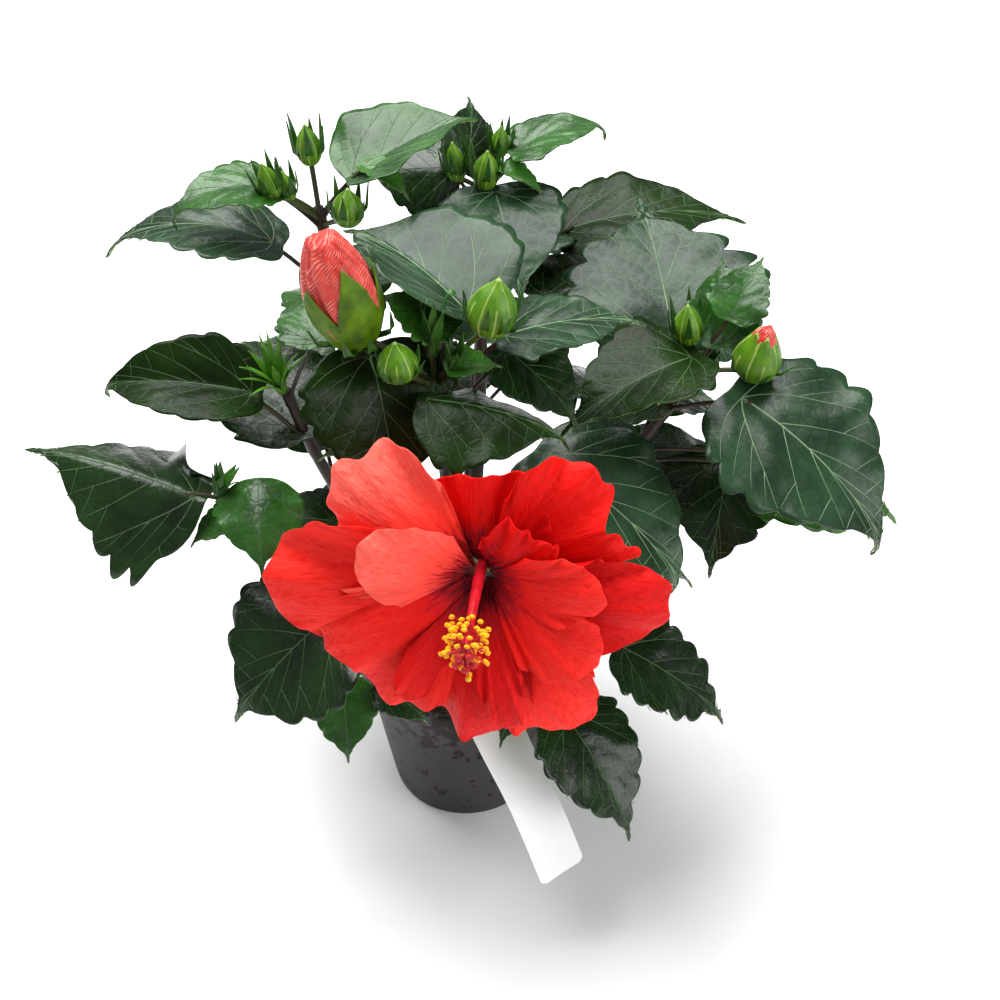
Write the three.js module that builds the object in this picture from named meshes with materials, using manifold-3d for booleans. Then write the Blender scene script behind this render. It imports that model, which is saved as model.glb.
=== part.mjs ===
// A potted hibiscus shrub in flower. A short trunk forks into boughs, and each bough ends in a mass of
// broad leaves and buds on stalks. One double bloom stands in front, over a nursery pot with its soil
// and a blank plant label. Millimetres, +Z up, origin at the centre of the pot's underside.
// Headings are compass angles from +X towards +Y, and pitches are angles above the horizon, in degrees.
import * as THREE from "three";
import { mergeVertices } from "three/addons/utils/BufferGeometryUtils.js";
import Module from "manifold-3d";

const wasm = await Module();
wasm.setup();

// ---------- Driving dimensions ----------
const GAP = 0.3; // left between two nodes that touch
const POT = {
  height: 92, rimRadius: 52.5, baseRadius: 37.5, wall: 1.6, lipHeight: 9, lipDepth: 2, floor: 2.5,
  sides: 32, lipChamfer: 1, drainHoles: 8, drainRadius: 3.5, drainSides: 6, drainCircle: 27,
};
const SOIL = { top: 84, edge: 82, trunkPatch: 14 };
const TRUNK = {
  top: 116, crown: 1, leanX: -1.5, sides: 9,
  profile: [[0, 8.5], [0.06, 7.2], [0.25, 6], [0.65, 5.4], [0.93, 5], [1, 3]], // share of height, radius
};
const LABEL = { width: 24, thick: 1, steps: 9 };
const STEM = { foot: 3.7, bare: 3.1, tip: 2.1, stub: 14, sides: 5 }; // radii, and the fork's length
const SKIRT_STEM = { foot: 2.8, bare: 2.4, tip: 1.7, stub: 14, sides: 5 };
const BLADE = { thick: 1.2, widthRatio: 0.8, columns: 6, rows: 6, lobe: 0.1, shoulder: 0.6 };
const STALK = { radius: 1, sides: 3, steps: 2, bow: 0.12, sunk: 0.14 };
const BUD = { columns: 7, rows: 4, stalkRadius: 1.2, swell: 0.18, sunk: 0.2 };
const RULE = { golden: 0.618, rise: 25, stalk: 24, pitch: -22, size: 66, arch: 40 };
const BLOOM = {
  throat: [11, -88, 222], heading: -95, rise: 14,
  petalThick: 1.2, columns: 10, rows: 7, claw: 3, clawHalf: 0.6, shoulder: 1.7, cup: 0.1,
  waves: [7, 13], // of the ruffle, coarse and fine
  columnLength: 62, columnRadius: 2.1, antherRadius: 8.5, antherSet: 4, antherColumns: 8, antherRows: 6,
  tubeLength: 26, tubeRadius: 7.5, tubeFoot: 3, peduncleRadius: 1.8, peduncleSteps: 5,
  stemSides: 5, roundSides: 8,
};

// ---------- The plant's layout ----------
// A leaf's blade starts at `off` from its node `at` along the shoot, and its chord has the heading,
// pitch, roll and size given. The arch bends it along its length and the fold lifts its halves.
const leaf = (at, off, heading, pitch, roll, size, more = {}) =>
  ({ at, off, heading, pitch, roll, size, arch: 35, fold: 8, wide: BLADE.widthRatio, ...more });
const bud = (at, off, heading, pitch, size, wide) => ({ at, off, heading, pitch, size, wide });

// A shoot's curve runs from its foot on the trunk, past a bend, to its tip. Up to `bare` it is a bough.
// `rule` adds leaves at even steps up to the share `upTo`, whose headings fan out round the one given.
const SHOOTS = [
  {
    name: "centre", curve: [[0, -3, 115], [-4, -14, 190], [-8, -32, 268]], bare: 0.5, stem: STEM,
    leaves: [
      leaf(0.9, [12, 5, 38], 135, 8, 8, 72, { fold: 30, wide: 1.06 }),
      leaf(0.92, [26, 2, 27], 12, 0, -4, 58, { fold: 5 }),
      leaf(0.88, [-4, -20, 19], -6, -14, 0, 60, { fold: -26, wide: 0.9 }),
      leaf(0.8, [-26, -3, 40], -70, -62, 0, 62, { arch: 50, wide: 1 }),
      leaf(0.95, [6, -12, 18], 19, -5, 10, 22, { fold: 30 }),
      leaf(0.8, [25, 6, 35], -36, -30, 0, 44, { wide: 0.95 }),
      leaf(0.93, [7, 1, 31], 156, 12, -15, 34),
    ],
    buds: [
      bud(0.99, [-27, -2, 20], -149, 76, 48, 27),
      bud(0.96, [-12, -16, 17], 180, 86, 16, 15),
      bud(0.98, [21, -4, 27], 0, 80, 23, 18),
      bud(0.98, [0, -6, 17], 75, 83, 16, 9),
      bud(0.97, [8, -9, 11], 0, 86, 13, 8),
    ],
  },
  {
    name: "top_left", curve: [[-4, 3, 112], [-38, 18, 200], [-58, 50, 296]], bare: 0.5, stem: STEM,
    leaves: [
      leaf(0.97, [14, 0, 20], 26, 16, 2, 60, { arch: 20, fold: 24, wide: 0.92 }),
      leaf(0.95, [-19, 0, 17], -160, -6, -5, 48, { arch: 75, wide: 0.72 }),
      leaf(0.78, [-28, 4, 26], 176, -2, 0, 76, { arch: 70, wide: 0.66 }),
      leaf(0.98, [19, -4, 24], -20, -25, 0, 24, { fold: 30 }),
    ],
    buds: [
      bud(0.99, [-1, -2, 23], 180, 86, 17, 10),
      bud(0.97, [-17, -8, 16], -150, 76, 16, 9),
      bud(0.96, [12, -12, 8], 0, 86, 16, 13),
      bud(0.98, [-11, -4, 10], 180, 80, 13, 7),
    ],
    rule: { count: 3, toward: 100, fan: 50, upTo: 0.8 },
  },
  {
    name: "top_right", curve: [[2, 5, 115], [10, 30, 200], [10, 80, 292]], bare: 0.5, stem: STEM,
    leaves: [
      leaf(0.97, [14, 1, 18], 22, 6, 0, 48, { arch: 55, wide: 0.66 }),
      leaf(0.97, [8, -7, 15], -14, -25, 0, 22, { fold: 30 }),
      leaf(0.97, [-8, 3, 10], 85, 40, 40, 36, { wide: 0.85 }),
      leaf(0.93, [-12, 7, 18], 178, -6, -30, 42, { fold: -15, wide: 1.05 }),
      leaf(0.8, [36, 28, 4], 6, 2, 6, 86, { arch: 45, wide: 0.68 }),
      leaf(0.85, [5, 4, 27], -77, -24, 0, 60, { wide: 0.92 }),
      leaf(0.6, [28, 6, 31], 50, -8, 0, 60),
    ],
    buds: [
      bud(0.98, [1, -8, 6], 0, 86, 17, 11),
      bud(0.99, [7, 6, 11], 0, 86, 14, 8),
      bud(0.98, [-11, 0, 5], 180, 84, 18, 9),
    ],
    rule: { count: 3, toward: 85, fan: 70, upTo: 0.85 },
  },
  {
    name: "right", curve: [[4, 0, 112], [52, -8, 165], [98, 4, 246]], bare: 0.45, stem: STEM,
    leaves: [
      leaf(0.88, [27, -9, 12], -36, -31, 14, 94, { arch: 60, wide: 0.82 }),
      leaf(0.75, [50, 1, -6], -6, -22, 18, 78, { wide: 0.84 }),
      leaf(0.7, [46, 2, 3], -104, -42, 0, 55, { wide: 1 }),
      leaf(0.9, [7, -3, 25], -152, -14, 0, 66, { fold: 14, wide: 0.84 }),
      leaf(0.88, [3, 16, 22], 98, 20, -2, 82, { fold: 4, wide: 1.1 }),
      leaf(0.97, [13, 2, 17], 88, 36, 0, 40, { fold: 16, wide: 0.85 }),
      leaf(0.98, [14, 1, 28], 56, 34, 10, 31, { wide: 0.85 }),
      leaf(0.75, [13, 6, 22], -179, -20, 0, 40),
    ],
    buds: [
      bud(0.98, [-2, 4, 15], 180, 85, 18, 12),
      bud(0.99, [23, -6, 4], -43, 80, 24, 19),
      bud(0.98, [9, 4, -3], 180, 86, 13, 8),
    ],
    rule: { count: 2, toward: 75, fan: 50, upTo: 0.8 },
  },
  {
    name: "left", curve: [[-4, 0, 110], [-52, -4, 160], [-72, 4, 236]], bare: 0.45, stem: STEM,
    leaves: [
      leaf(0.97, [17, -15, 38], 122, 12, 0, 30, { wide: 0.95 }),
      leaf(0.8, [-21, -4, 31], 172, -3, -28, 74, { arch: 60, fold: 28, wide: 0.58 }),
      leaf(0.6, [-15, 0, 35], 118, 5, 0, 78),
      leaf(0.5, [20, -4, 47], 178, -12, 0, 38),
    ],
    buds: [bud(0.99, [-1, -4, 4], -120, 74, 20, 10)],
    rule: { count: 2, toward: 100, fan: 30, upTo: 0.7 },
  },
  {
    name: "low_left", curve: [[-4, -4, 100], [-50, -22, 150], [-94, -36, 214]], bare: 0.45, stem: STEM,
    leaves: [
      leaf(0.92, [-18, -6, 9], 166, 10, -12, 76, { fold: -36, wide: 1.06 }),
      leaf(0.9, [6, -7, 21], -84, -34, 0, 40, { fold: -20, wide: 1.0 }),
      leaf(0.92, [-3, -5, 1], -150, -20, 0, 24),
    ],
    buds: [bud(0.99, [-3, -4, 4], 0, 70, 12, 6)],
  },
  {
    name: "front", curve: [[3, -5, 98], [16, -13, 146], [18, -30, 196]], bare: 0.6, stem: STEM,
    leaves: [
      leaf(0.95, [16, 0, 33], -34, -27, 6, 86, { arch: 50, wide: 0.84 }),
      leaf(0.75, [-14, -4, 22], -120, -30, 0, 44),
    ],
    buds: [],
  },
  {
    name: "skirt_left", curve: [[-4, -4, 93], [-20, -22, 104], [-36, -42, 126]], bare: 0.5, stem: SKIRT_STEM,
    leaves: [
      leaf(0.95, [-16, -20, 46], -153, -40, -20, 69, { wide: 1.04 }),
      leaf(0.8, [-22, -20, 2], -85, -50, 0, 38),
      leaf(0.9, [-4, -18, -4], -20, -30, 0, 30),
    ],
    buds: [],
  },
  {
    name: "skirt_right", curve: [[4, -3, 93], [22, -20, 106], [40, -42, 124]], bare: 0.5, stem: SKIRT_STEM,
    leaves: [
      leaf(0.97, [31, -8, 12], -16, -33, 8, 62, { wide: 0.84 }),
      leaf(0.8, [12, -28, -11], -50, -40, -5, 66, { wide: 0.84 }),
      leaf(0.9, [-6, -14, -2], -120, -35, 0, 34),
    ],
    buds: [],
  },
  {
    name: "back", curve: [[0, 5, 104], [2, 45, 150], [8, 105, 205]], bare: 0.45, stem: STEM,
    leaves: [], buds: [], rule: { count: 7, toward: 90, fan: 80 },
  },
  {
    name: "back_left", curve: [[-4, 5, 100], [-32, 40, 135], [-66, 84, 185]], bare: 0.45, stem: STEM,
    leaves: [], buds: [], rule: { count: 7, toward: 110, fan: 60 },
  },
  {
    name: "back_right", curve: [[4, 4, 102], [40, 32, 155], [80, 86, 226]], bare: 0.45, stem: STEM,
    leaves: [], buds: [], rule: { count: 7, toward: 60, fan: 75 },
  },
  {
    name: "skirt_back_left", curve: [[-4, 3, 92], [-28, 26, 100], [-52, 42, 120]], bare: 0.5, stem: SKIRT_STEM,
    leaves: [], buds: [], rule: { count: 4, toward: 130, fan: 50 },
  },
  {
    name: "skirt_back_right", curve: [[4, 3, 92], [28, 24, 100], [54, 36, 120]], bare: 0.5, stem: SKIRT_STEM,
    leaves: [], buds: [], rule: { count: 4, toward: 55, fan: 45 },
  },
];

// The bloom's petals, anticlockwise from the right as it is looked into: azimuth round the axis,
// reach from the axis, half width, lift along the axis, curl back at the margin and ruffle.
const petal = (azimuth, reach, half, lift, curl, ruffle, phase) =>
  ({ azimuth, reach, half, lift, curl, ruffle, phase });
const PETALS = [
  petal(181, 80, 25, 22, 12, 3, 0.3),
  petal(147, 64, 30, 18, 10, 4, 1.7),
  petal(88, 43, 24, 10, 2, 3, 0.8),
  petal(41, 60, 25, 16, 8, 5, 2.6),
  petal(-3, 71, 19, 22, 12, 4, 1.1),
  petal(-57, 69, 22, 24, 10, 3, 3.9),
  petal(-96, 60, 26, 26, 8, 3, 0.2),
  petal(-140, 66, 28, 24, 10, 3, 2.2),
  petal(155, 54, 21, 34, 2, 1, 0.4),
  petal(10, 49, 14, 34, 4, 2, 1.9),
  petal(-32, 54, 17, 32, 6, 2, 2.9),
  petal(42, 32, 18, 20, 0, 3, 0.6),
  petal(-71, 52, 8, 32, 4, 1, 1.4),
];

// ---------- Helpers ----------
const v3 = (x, y, z) => new THREE.Vector3(x, y, z);
const rad = THREE.MathUtils.degToRad;
const lerp = THREE.MathUtils.lerp;
const UP = v3(0, 0, 1);
const aim = (heading, pitch) =>
  v3(1, 0, 0).applyAxisAngle(v3(0, -1, 0), rad(pitch)).applyAxisAngle(UP, rad(heading));

// A closed three.js geometry as a solid that can be joined and cut.
function solidOf(geometry) {
  geometry.deleteAttribute("normal");
  geometry.deleteAttribute("uv");
  const merged = mergeVertices(geometry, 1e-4);
  return new wasm.Manifold(new wasm.Mesh({
    numProp: 3,
    vertProperties: merged.attributes.position.array,
    triVerts: new Uint32Array(merged.index.array),
  }));
}

function geometryOf(solid) {
  const mesh = solid.getMesh();
  const geometry = new THREE.BufferGeometry();
  geometry.setAttribute("position", new THREE.BufferAttribute(mesh.vertProperties, mesh.numProp));
  geometry.setIndex(new THREE.BufferAttribute(mesh.triVerts, 1));
  geometry.computeVertexNormals();
  return geometry;
}

// Moves every vertex of a geometry to where `place` puts it.
function warp(geometry, place) {
  const position = geometry.attributes.position;
  const point = v3();
  for (let i = 0; i < position.count; i++) {
    place(point.fromBufferAttribute(position, i));
    position.setXYZ(i, point.x, point.y, point.z);
  }
  return geometry;
}

// Joins solids, and keeps the largest body: a sealed hollow is filled and a loose scrap is dropped.
function fuse(solids) {
  const bodies = wasm.Manifold.union(solids).decompose();
  return bodies.reduce((best, body) => (body.volume() > best.volume() ? body : best));
}

// ---------- Limbs ----------
const curveOf = (points) => new THREE.QuadraticBezierCurve3(...points.map((p) => v3(...p)));

// A tapering limb along part of a curve, from one radius to another.
function limb(curve, from, to, radiusFrom, radiusTo, sides, steps) {
  const along = curve.v2.clone().sub(curve.v0);
  const side = curve.v1.clone().sub(curve.v0).cross(along);
  if (side.length() < 1e-6) side.copy(v3(1, 0, 0).cross(along));
  side.normalize();
  return solidOf(warp(new THREE.CylinderGeometry(1, 1, 1, sides, steps), (p) => {
    const share = p.y + 0.5;
    const at = lerp(from, to, share);
    const radius = lerp(radiusFrom, radiusTo, share);
    const across = side.clone().cross(curve.getTangent(at)).normalize();
    const centre = curve.getPoint(at);
    p.copy(centre.addScaledVector(side, p.x * radius).addScaledVector(across, p.z * radius));
  }));
}

// ---------- Leaves ----------
// A sphere turned half a column, so that a thin blade made of it has a blunt margin.
const bladeSphere = ({ columns, rows }) => new THREE.SphereGeometry(1, columns, rows, Math.PI / columns);

// A vertex of that sphere as a place on the blade: how far along, how far across, and which face.
function bladeCoordinates(p, { columns }) {
  const polar = Math.acos(THREE.MathUtils.clamp(p.y, -1, 1));
  const ring = Math.sin(polar);
  if (ring < 1e-6) return { along: Math.round(polar / Math.PI), ring: 0, across: 0, face: 0 };
  const margin = Math.PI / 2 - Math.PI / columns;
  const across = Math.asin(THREE.MathUtils.clamp(p.x / ring, -1, 1)) / margin;
  return { along: polar / Math.PI, ring, across, face: p.z / ring };
}

function leafMatrix(item, base, grown) {
  const forward = aim(item.heading, item.pitch);
  const left = aim(item.heading + 90, 0).applyAxisAngle(forward, rad(item.roll));
  const start = base.clone().addScaledVector(forward, -BLADE.lobe * item.size - grown);
  return new THREE.Matrix4().makeBasis(forward, left, forward.clone().cross(left)).setPosition(start);
}

// The point of a blade before it is turned into place: an arched midrib with two lifted halves. The
// blade's round lobes reach a little behind the stalk.
function bladePoint(item, along, side, offset, grown) {
  const turn = rad(item.arch);
  const radius = ((1 + BLADE.lobe) * item.size + 2 * grown) / (2 * Math.sin(turn / 2));
  const angle = turn * (along - 0.5);
  const rise = Math.sin(rad(item.fold)) * Math.abs(side) + offset;
  return v3(
    radius * (Math.sin(angle) + Math.sin(turn / 2)) + rise * Math.sin(angle),
    side * Math.cos(rad(item.fold)),
    radius * (Math.cos(angle) - Math.cos(turn / 2)) + rise * Math.cos(angle),
  );
}

// Ovate: round at the base, widest at a third, drawn out to the tip.
const ovate = (along) => Math.sin(Math.PI * Math.pow(along, BLADE.shoulder));

// Whole over most of a blade, and down to nothing at its two ends.
const fade = (ring) => Math.min(1, 3 * ring);

function blade(item, base, grown) {
  const matrix = leafMatrix(item, base, grown);
  return solidOf(warp(bladeSphere(BLADE), (p) => {
    const { along, ring, across, face } = bladeCoordinates(p, BLADE);
    const half = 0.5 * item.size * item.wide * ovate(along) + grown * fade(ring);
    const offset = face * (BLADE.thick / 2 + grown) * fade(ring);
    p.copy(bladePoint(item, along, across * half, offset, grown)).applyMatrix4(matrix);
  }));
}

// A stalk that bows from its node on the stem and ends sunk in what it carries.
function stalk(from, to, radius, sides) {
  const middle = from.clone().lerp(to, 0.5).addScaledVector(UP, STALK.bow * from.distanceTo(to));
  return limb(new THREE.QuadraticBezierCurve3(from, middle, to), 0, 1, radius, radius, sides, STALK.steps);
}

function leafSolids(item, node, grown) {
  const base = node.clone().add(v3(...item.off));
  const root = bladePoint(item, STALK.sunk, 0, 0, 0).applyMatrix4(leafMatrix(item, base, 0));
  return [blade(item, base, grown), stalk(node, root, STALK.radius + grown, STALK.sides)];
}

// ---------- Buds ----------
function budSolids(item, node, grown) {
  const base = node.clone().add(v3(...item.off));
  const axis = aim(item.heading, item.pitch);
  const turn = new THREE.Quaternion().setFromUnitVectors(v3(0, 1, 0), axis);
  const egg = warp(new THREE.SphereGeometry(1, BUD.columns, BUD.rows), (p) => {
    const radius = 0.5 * item.wide * (1 - BUD.swell * p.y) + grown;
    p.set(p.x * radius, (p.y + 1) * 0.5 * (item.size + 2 * grown) - grown, p.z * radius);
    p.applyQuaternion(turn).add(base);
  });
  const root = base.clone().addScaledVector(axis, BUD.sunk * item.size);
  return [solidOf(egg), stalk(node, root, BUD.stalkRadius + grown, STALK.sides)];
}

// ---------- Keeping clear ----------
// What each node already holds, a little grown, so that later pieces of other nodes stay clear of it.
const taken = [];

function meet(a, b) {
  return [0, 1, 2].every((i) => a.min[i] < b.max[i] && b.min[i] < a.max[i]);
}

function take(owner, solids) {
  for (const solid of solids) taken.push({ owner, solid, box: solid.boundingBox() });
}

function touching(owner, solid) {
  const box = solid.boundingBox();
  return taken.filter((t) => t.owner !== owner && meet(box, t.box) && t.solid.intersect(solid).volume() > 0);
}

// ---------- Pot, soil and label ----------
const potRadius = (z) => lerp(POT.baseRadius, POT.rimRadius - POT.lipDepth, z / POT.height);

// A profile of radii and heights turned about the Z axis.
function lathe(profile, sides) {
  const points = profile.map(([radius, z]) => new THREE.Vector2(radius, z));
  return new THREE.LatheGeometry(points, sides).rotateX(Math.PI / 2);
}

function pot() {
  const lipFoot = POT.height - POT.lipHeight;
  const chamfer = POT.lipChamfer;
  const outside = [
    [0, 0], [POT.baseRadius, 0], [potRadius(lipFoot), lipFoot], [POT.rimRadius, lipFoot + chamfer],
    [POT.rimRadius, POT.height - chamfer], [POT.rimRadius - chamfer, POT.height],
  ];
  const inside = [POT.height, POT.floor].map((z) => [potRadius(z) - POT.wall, z]);
  const shell = solidOf(lathe([...outside, ...inside, [0, POT.floor]], POT.sides));
  const holes = Array.from({ length: POT.drainHoles }, (_, i) => {
    const angle = (2 * Math.PI * i) / POT.drainHoles;
    const hole = new THREE.CylinderGeometry(POT.drainRadius, POT.drainRadius, 4 * POT.floor, POT.drainSides);
    const [x, y] = [POT.drainCircle * Math.cos(angle), POT.drainCircle * Math.sin(angle)];
    return solidOf(hole.rotateX(Math.PI / 2).translate(x, y, 0));
  });
  return holes.reduce((body, hole) => body.subtract(hole), shell);
}

// The room the pot and its soil take, grown by the gap.
function potSpace() {
  const lipFoot = POT.height - POT.lipHeight - GAP;
  const rim = POT.rimRadius + GAP;
  return solidOf(lathe([
    [0, -GAP], [POT.baseRadius + GAP, -GAP], [potRadius(lipFoot) + GAP, lipFoot],
    [rim, lipFoot], [rim, POT.height + GAP], [0, POT.height + GAP],
  ], POT.sides));
}

const labelCurve = new THREE.CatmullRomCurve3([
  v3(7, -36, 64), v3(9, -42, 98), v3(17, -62, 94), v3(34, -84, 67), v3(46, -100, 42),
]);

// A strip bent along its curve, its width level from side to side.
function label(grown) {
  const strip = new THREE.BoxGeometry(LABEL.width + 2 * grown, 1, LABEL.thick + 2 * grown, 1, LABEL.steps, 1);
  return solidOf(warp(strip, (p) => {
    const at = p.y + 0.5;
    const tangent = labelCurve.getTangent(at);
    const side = v3(tangent.y, -tangent.x, 0).normalize();
    const normal = side.clone().cross(tangent);
    const centre = labelCurve.getPoint(at);
    p.copy(centre.addScaledVector(side, -p.x).addScaledVector(normal, -p.z));
  }));
}

function soil() {
  const inner = (z) => potRadius(z) - POT.wall - GAP;
  const foot = POT.floor + GAP;
  const flank = [foot, SOIL.edge].map((z) => [inner(z), z]);
  const heap = lathe([[0, foot], ...flank, [SOIL.trunkPatch, SOIL.top], [0, SOIL.top]], POT.sides);
  return solidOf(heap).subtract(label(GAP));
}

// ---------- Trunk and boughs ----------
const forkShare = (shoot, curve) => shoot.stem.stub / (2 * curve.v0.distanceTo(curve.v1));
const stemRadius = (shoot, at) =>
  at < shoot.bare
    ? lerp(shoot.stem.foot, shoot.stem.bare, at / shoot.bare)
    : lerp(shoot.stem.bare, shoot.stem.tip, (at - shoot.bare) / (1 - shoot.bare));

function stemPart(shoot, from, to, steps, grown = 0) {
  const [thick, thin] = [stemRadius(shoot, from) + grown, stemRadius(shoot, to) + grown];
  return limb(curveOf(shoot.curve), from, to, thick, thin, shoot.stem.sides, steps);
}

// The share of a shoot's length that the gap between two nodes takes.
const gapShare = (curve) => GAP / curve.getLength();

function trunk() {
  const foot = SOIL.top + GAP;
  const height = TRUNK.top - foot;
  const flank = TRUNK.profile.map(([share, radius]) => [radius, foot + share * height]);
  const body = warp(lathe([[0, foot], ...flank, [0, TRUNK.top + TRUNK.crown]], TRUNK.sides), (p) => {
    p.x += (TRUNK.leanX * (p.z - foot)) / height;
  });
  const forks = SHOOTS.map((shoot) => stemPart(shoot, 0, forkShare(shoot, curveOf(shoot.curve)), 1));
  return fuse([solidOf(body), ...forks]);
}

const bough = (shoot, curve, grown) =>
  stemPart(shoot, forkShare(shoot, curve) + gapShare(curve), shoot.bare, 4, grown);

// ---------- Foliage ----------
// Leaves by rule: even steps along the shoot, smaller to the tip, with headings that the golden ratio
// deals out over the fan so that no two lie one over the other.
function ruleLeaves(shoot) {
  if (!shoot.rule) return [];
  return Array.from({ length: shoot.rule.count }, (_, i) => {
    const share = (i + 0.5) / shoot.rule.count;
    const heading = shoot.rule.toward + shoot.rule.fan * (2 * ((i * RULE.golden) % 1) - 1);
    const off = aim(heading, RULE.rise).multiplyScalar(RULE.stalk * (1.1 - 0.4 * share));
    const pitch = RULE.pitch * (1.2 - 0.6 * share);
    return leaf(lerp(shoot.bare + 0.05, shoot.rule.upTo ?? 0.98, share), off.toArray(), heading, pitch, 0,
      RULE.size * (1.1 - 0.3 * share), { arch: RULE.arch });
  });
}

// A mass's stem and its buds on their stalks. They are never trimmed, so they are taken before any leaf.
function frameOf(shoot, curve, grown) {
  const stem = stemPart(shoot, shoot.bare + (grown ? 0 : gapShare(curve)), 1, 4, grown);
  return [stem, ...shoot.buds.flatMap((item) => budSolids(item, curve.getPoint(item.at), grown))];
}

function mass(shoot, curve) {
  const parts = frameOf(shoot, curve, 0);
  const grow = (item, mayTrim) => {
    const node = curve.getPoint(item.at);
    const whole = fuse(leafSolids(item, node, 0));
    const met = touching(shoot.name, whole);
    if (met.length && !mayTrim) return;
    parts.push(met.reduce((body, other) => body.subtract(other.solid), whole));
    take(shoot.name, leafSolids(item, node, GAP));
  };
  // A leaf placed by hand is trimmed where it meets another node, and a leaf by rule is skipped.
  shoot.leaves.forEach((item) => grow(item, true));
  ruleLeaves(shoot).forEach((item) => grow(item, false));
  return fuse(parts);
}

// ---------- Bloom ----------
const bloomAxis = aim(BLOOM.heading, BLOOM.rise);
const bloomMatrix = (() => {
  const right = UP.clone().cross(bloomAxis).normalize();
  const up = bloomAxis.clone().cross(right);
  return new THREE.Matrix4().makeBasis(right, up, bloomAxis).setPosition(...BLOOM.throat);
})();

// A petal: a narrow claw that leaves the throat, a broad ruffled face, and a margin that curls back.
function petalSolid(item, grown) {
  return solidOf(warp(bladeSphere(BLOOM), (p) => {
    const { along, ring, across, face } = bladeCoordinates(p, BLOOM);
    const swell = Math.max(0, Math.sin(Math.PI * Math.pow(along, BLOOM.shoulder)));
    const half = item.half * Math.sqrt(swell) + BLOOM.clawHalf + grown;
    const [coarse, fine] = BLOOM.waves;
    const ripple = Math.sin(fine * across * along + 2 * item.phase);
    const wave = Math.sin(coarse * across + item.phase) + 0.6 * ripple;
    const reach = lerp(BLOOM.claw, item.reach, along);
    const flare = item.lift * along * (2 - along) - item.curl * along ** 4;
    const height = flare + item.ruffle * along * along * wave + BLOOM.cup * half * across * across;
    const offset = face * (BLOOM.petalThick / 2 + grown) * fade(ring);
    const turned = rad(item.azimuth);
    const side = across * half;
    p.set(
      reach * Math.cos(turned) - side * Math.sin(turned),
      reach * Math.sin(turned) + side * Math.cos(turned),
      height + offset,
    ).applyMatrix4(bloomMatrix);
  }));
}

function bloomSolids(foot, heading, grown) {
  const throat = v3(...BLOOM.throat);
  const back = throat.clone().addScaledVector(bloomAxis, -BLOOM.tubeLength);
  const turn = new THREE.Quaternion().setFromUnitVectors(v3(0, 1, 0), bloomAxis);
  const middle = throat.clone().lerp(back, 0.5);
  const [mouth, narrow] = [BLOOM.tubeRadius + grown, BLOOM.tubeFoot + grown];
  const tube = new THREE.CylinderGeometry(mouth, narrow, BLOOM.tubeLength + BLOOM.tubeFoot, BLOOM.roundSides)
    .applyQuaternion(turn).translate(...middle.toArray());
  const columnEnd = throat.clone().addScaledVector(bloomAxis, BLOOM.columnLength);
  const column = stalk(middle, columnEnd, BLOOM.columnRadius + grown, BLOOM.stemSides);
  const anthers = new THREE.SphereGeometry(BLOOM.antherRadius + grown, BLOOM.antherColumns, BLOOM.antherRows)
    .translate(...columnEnd.clone().addScaledVector(bloomAxis, -BLOOM.antherSet).toArray());
  const bend = foot.clone().addScaledVector(heading, 0.5 * foot.distanceTo(back));
  const neck = new THREE.QuadraticBezierCurve3(foot, bend, back);
  const radius = BLOOM.peduncleRadius + grown;
  const peduncle = limb(neck, 0, 1, radius, radius, BLOOM.stemSides, BLOOM.peduncleSteps);
  const petals = PETALS.map((item) => petalSolid(item, grown));
  return [...petals, solidOf(tube), column, solidOf(anthers), peduncle];
}

// ---------- Assembly ----------
const FINISH = {
  pot: { color: 0x4a474b, roughness: 0.55 },
  soil: { color: 0x2b1d14, roughness: 0.95 },
  label: { color: 0xf2f2f0, roughness: 0.4 },
  bark: { color: 0x33241f, roughness: 0.8 },
  leaf: { color: 0x21381f, roughness: 0.35 },
  petal: { color: 0xe5281f, roughness: 0.6 },
};
const group = new THREE.Group();

function add(name, solid, finish) {
  const material = new THREE.MeshStandardMaterial({ metalness: 0, ...FINISH[finish] });
  const mesh = new THREE.Mesh(geometryOf(solid), material);
  mesh.name = name;
  group.add(mesh);
}

add("pot", pot(), "pot");
add("soil", soil(), "soil");
add("label", label(0), "label");
add("trunk", trunk(), "bark");

take("pot", [potSpace(), label(GAP)]);
for (const shoot of SHOOTS) {
  const curve = curveOf(shoot.curve);
  add(`bough_${shoot.name}`, bough(shoot, curve, 0), "bark");
  take(shoot.name, [stemPart(shoot, 0, shoot.bare, 8, GAP)]);
}

const bloomStem = curveOf(SHOOTS.find((shoot) => shoot.name === "front").curve);
const bloomHeading = bloomStem.getTangent(1);
const bloomFoot = bloomStem.getPoint(1).addScaledVector(bloomHeading, GAP);
add("bloom", fuse(bloomSolids(bloomFoot, bloomHeading, 0)), "petal");
take("bloom", bloomSolids(bloomFoot, bloomHeading, GAP));

for (const shoot of SHOOTS) take(shoot.name, frameOf(shoot, curveOf(shoot.curve), GAP));
for (const shoot of SHOOTS) add(`foliage_${shoot.name}`, mass(shoot, curveOf(shoot.curve)), "leaf");

export default group;
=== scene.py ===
"""The looks of a potted hibiscus shrub in flower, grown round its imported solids.

Lengths are in millimetres until a mesh is made. Headings are compass angles from +X towards +Y and
pitches are angles above the horizon, both in degrees.
"""

import logging
import math
from dataclasses import dataclass, field
from enum import Enum

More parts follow.
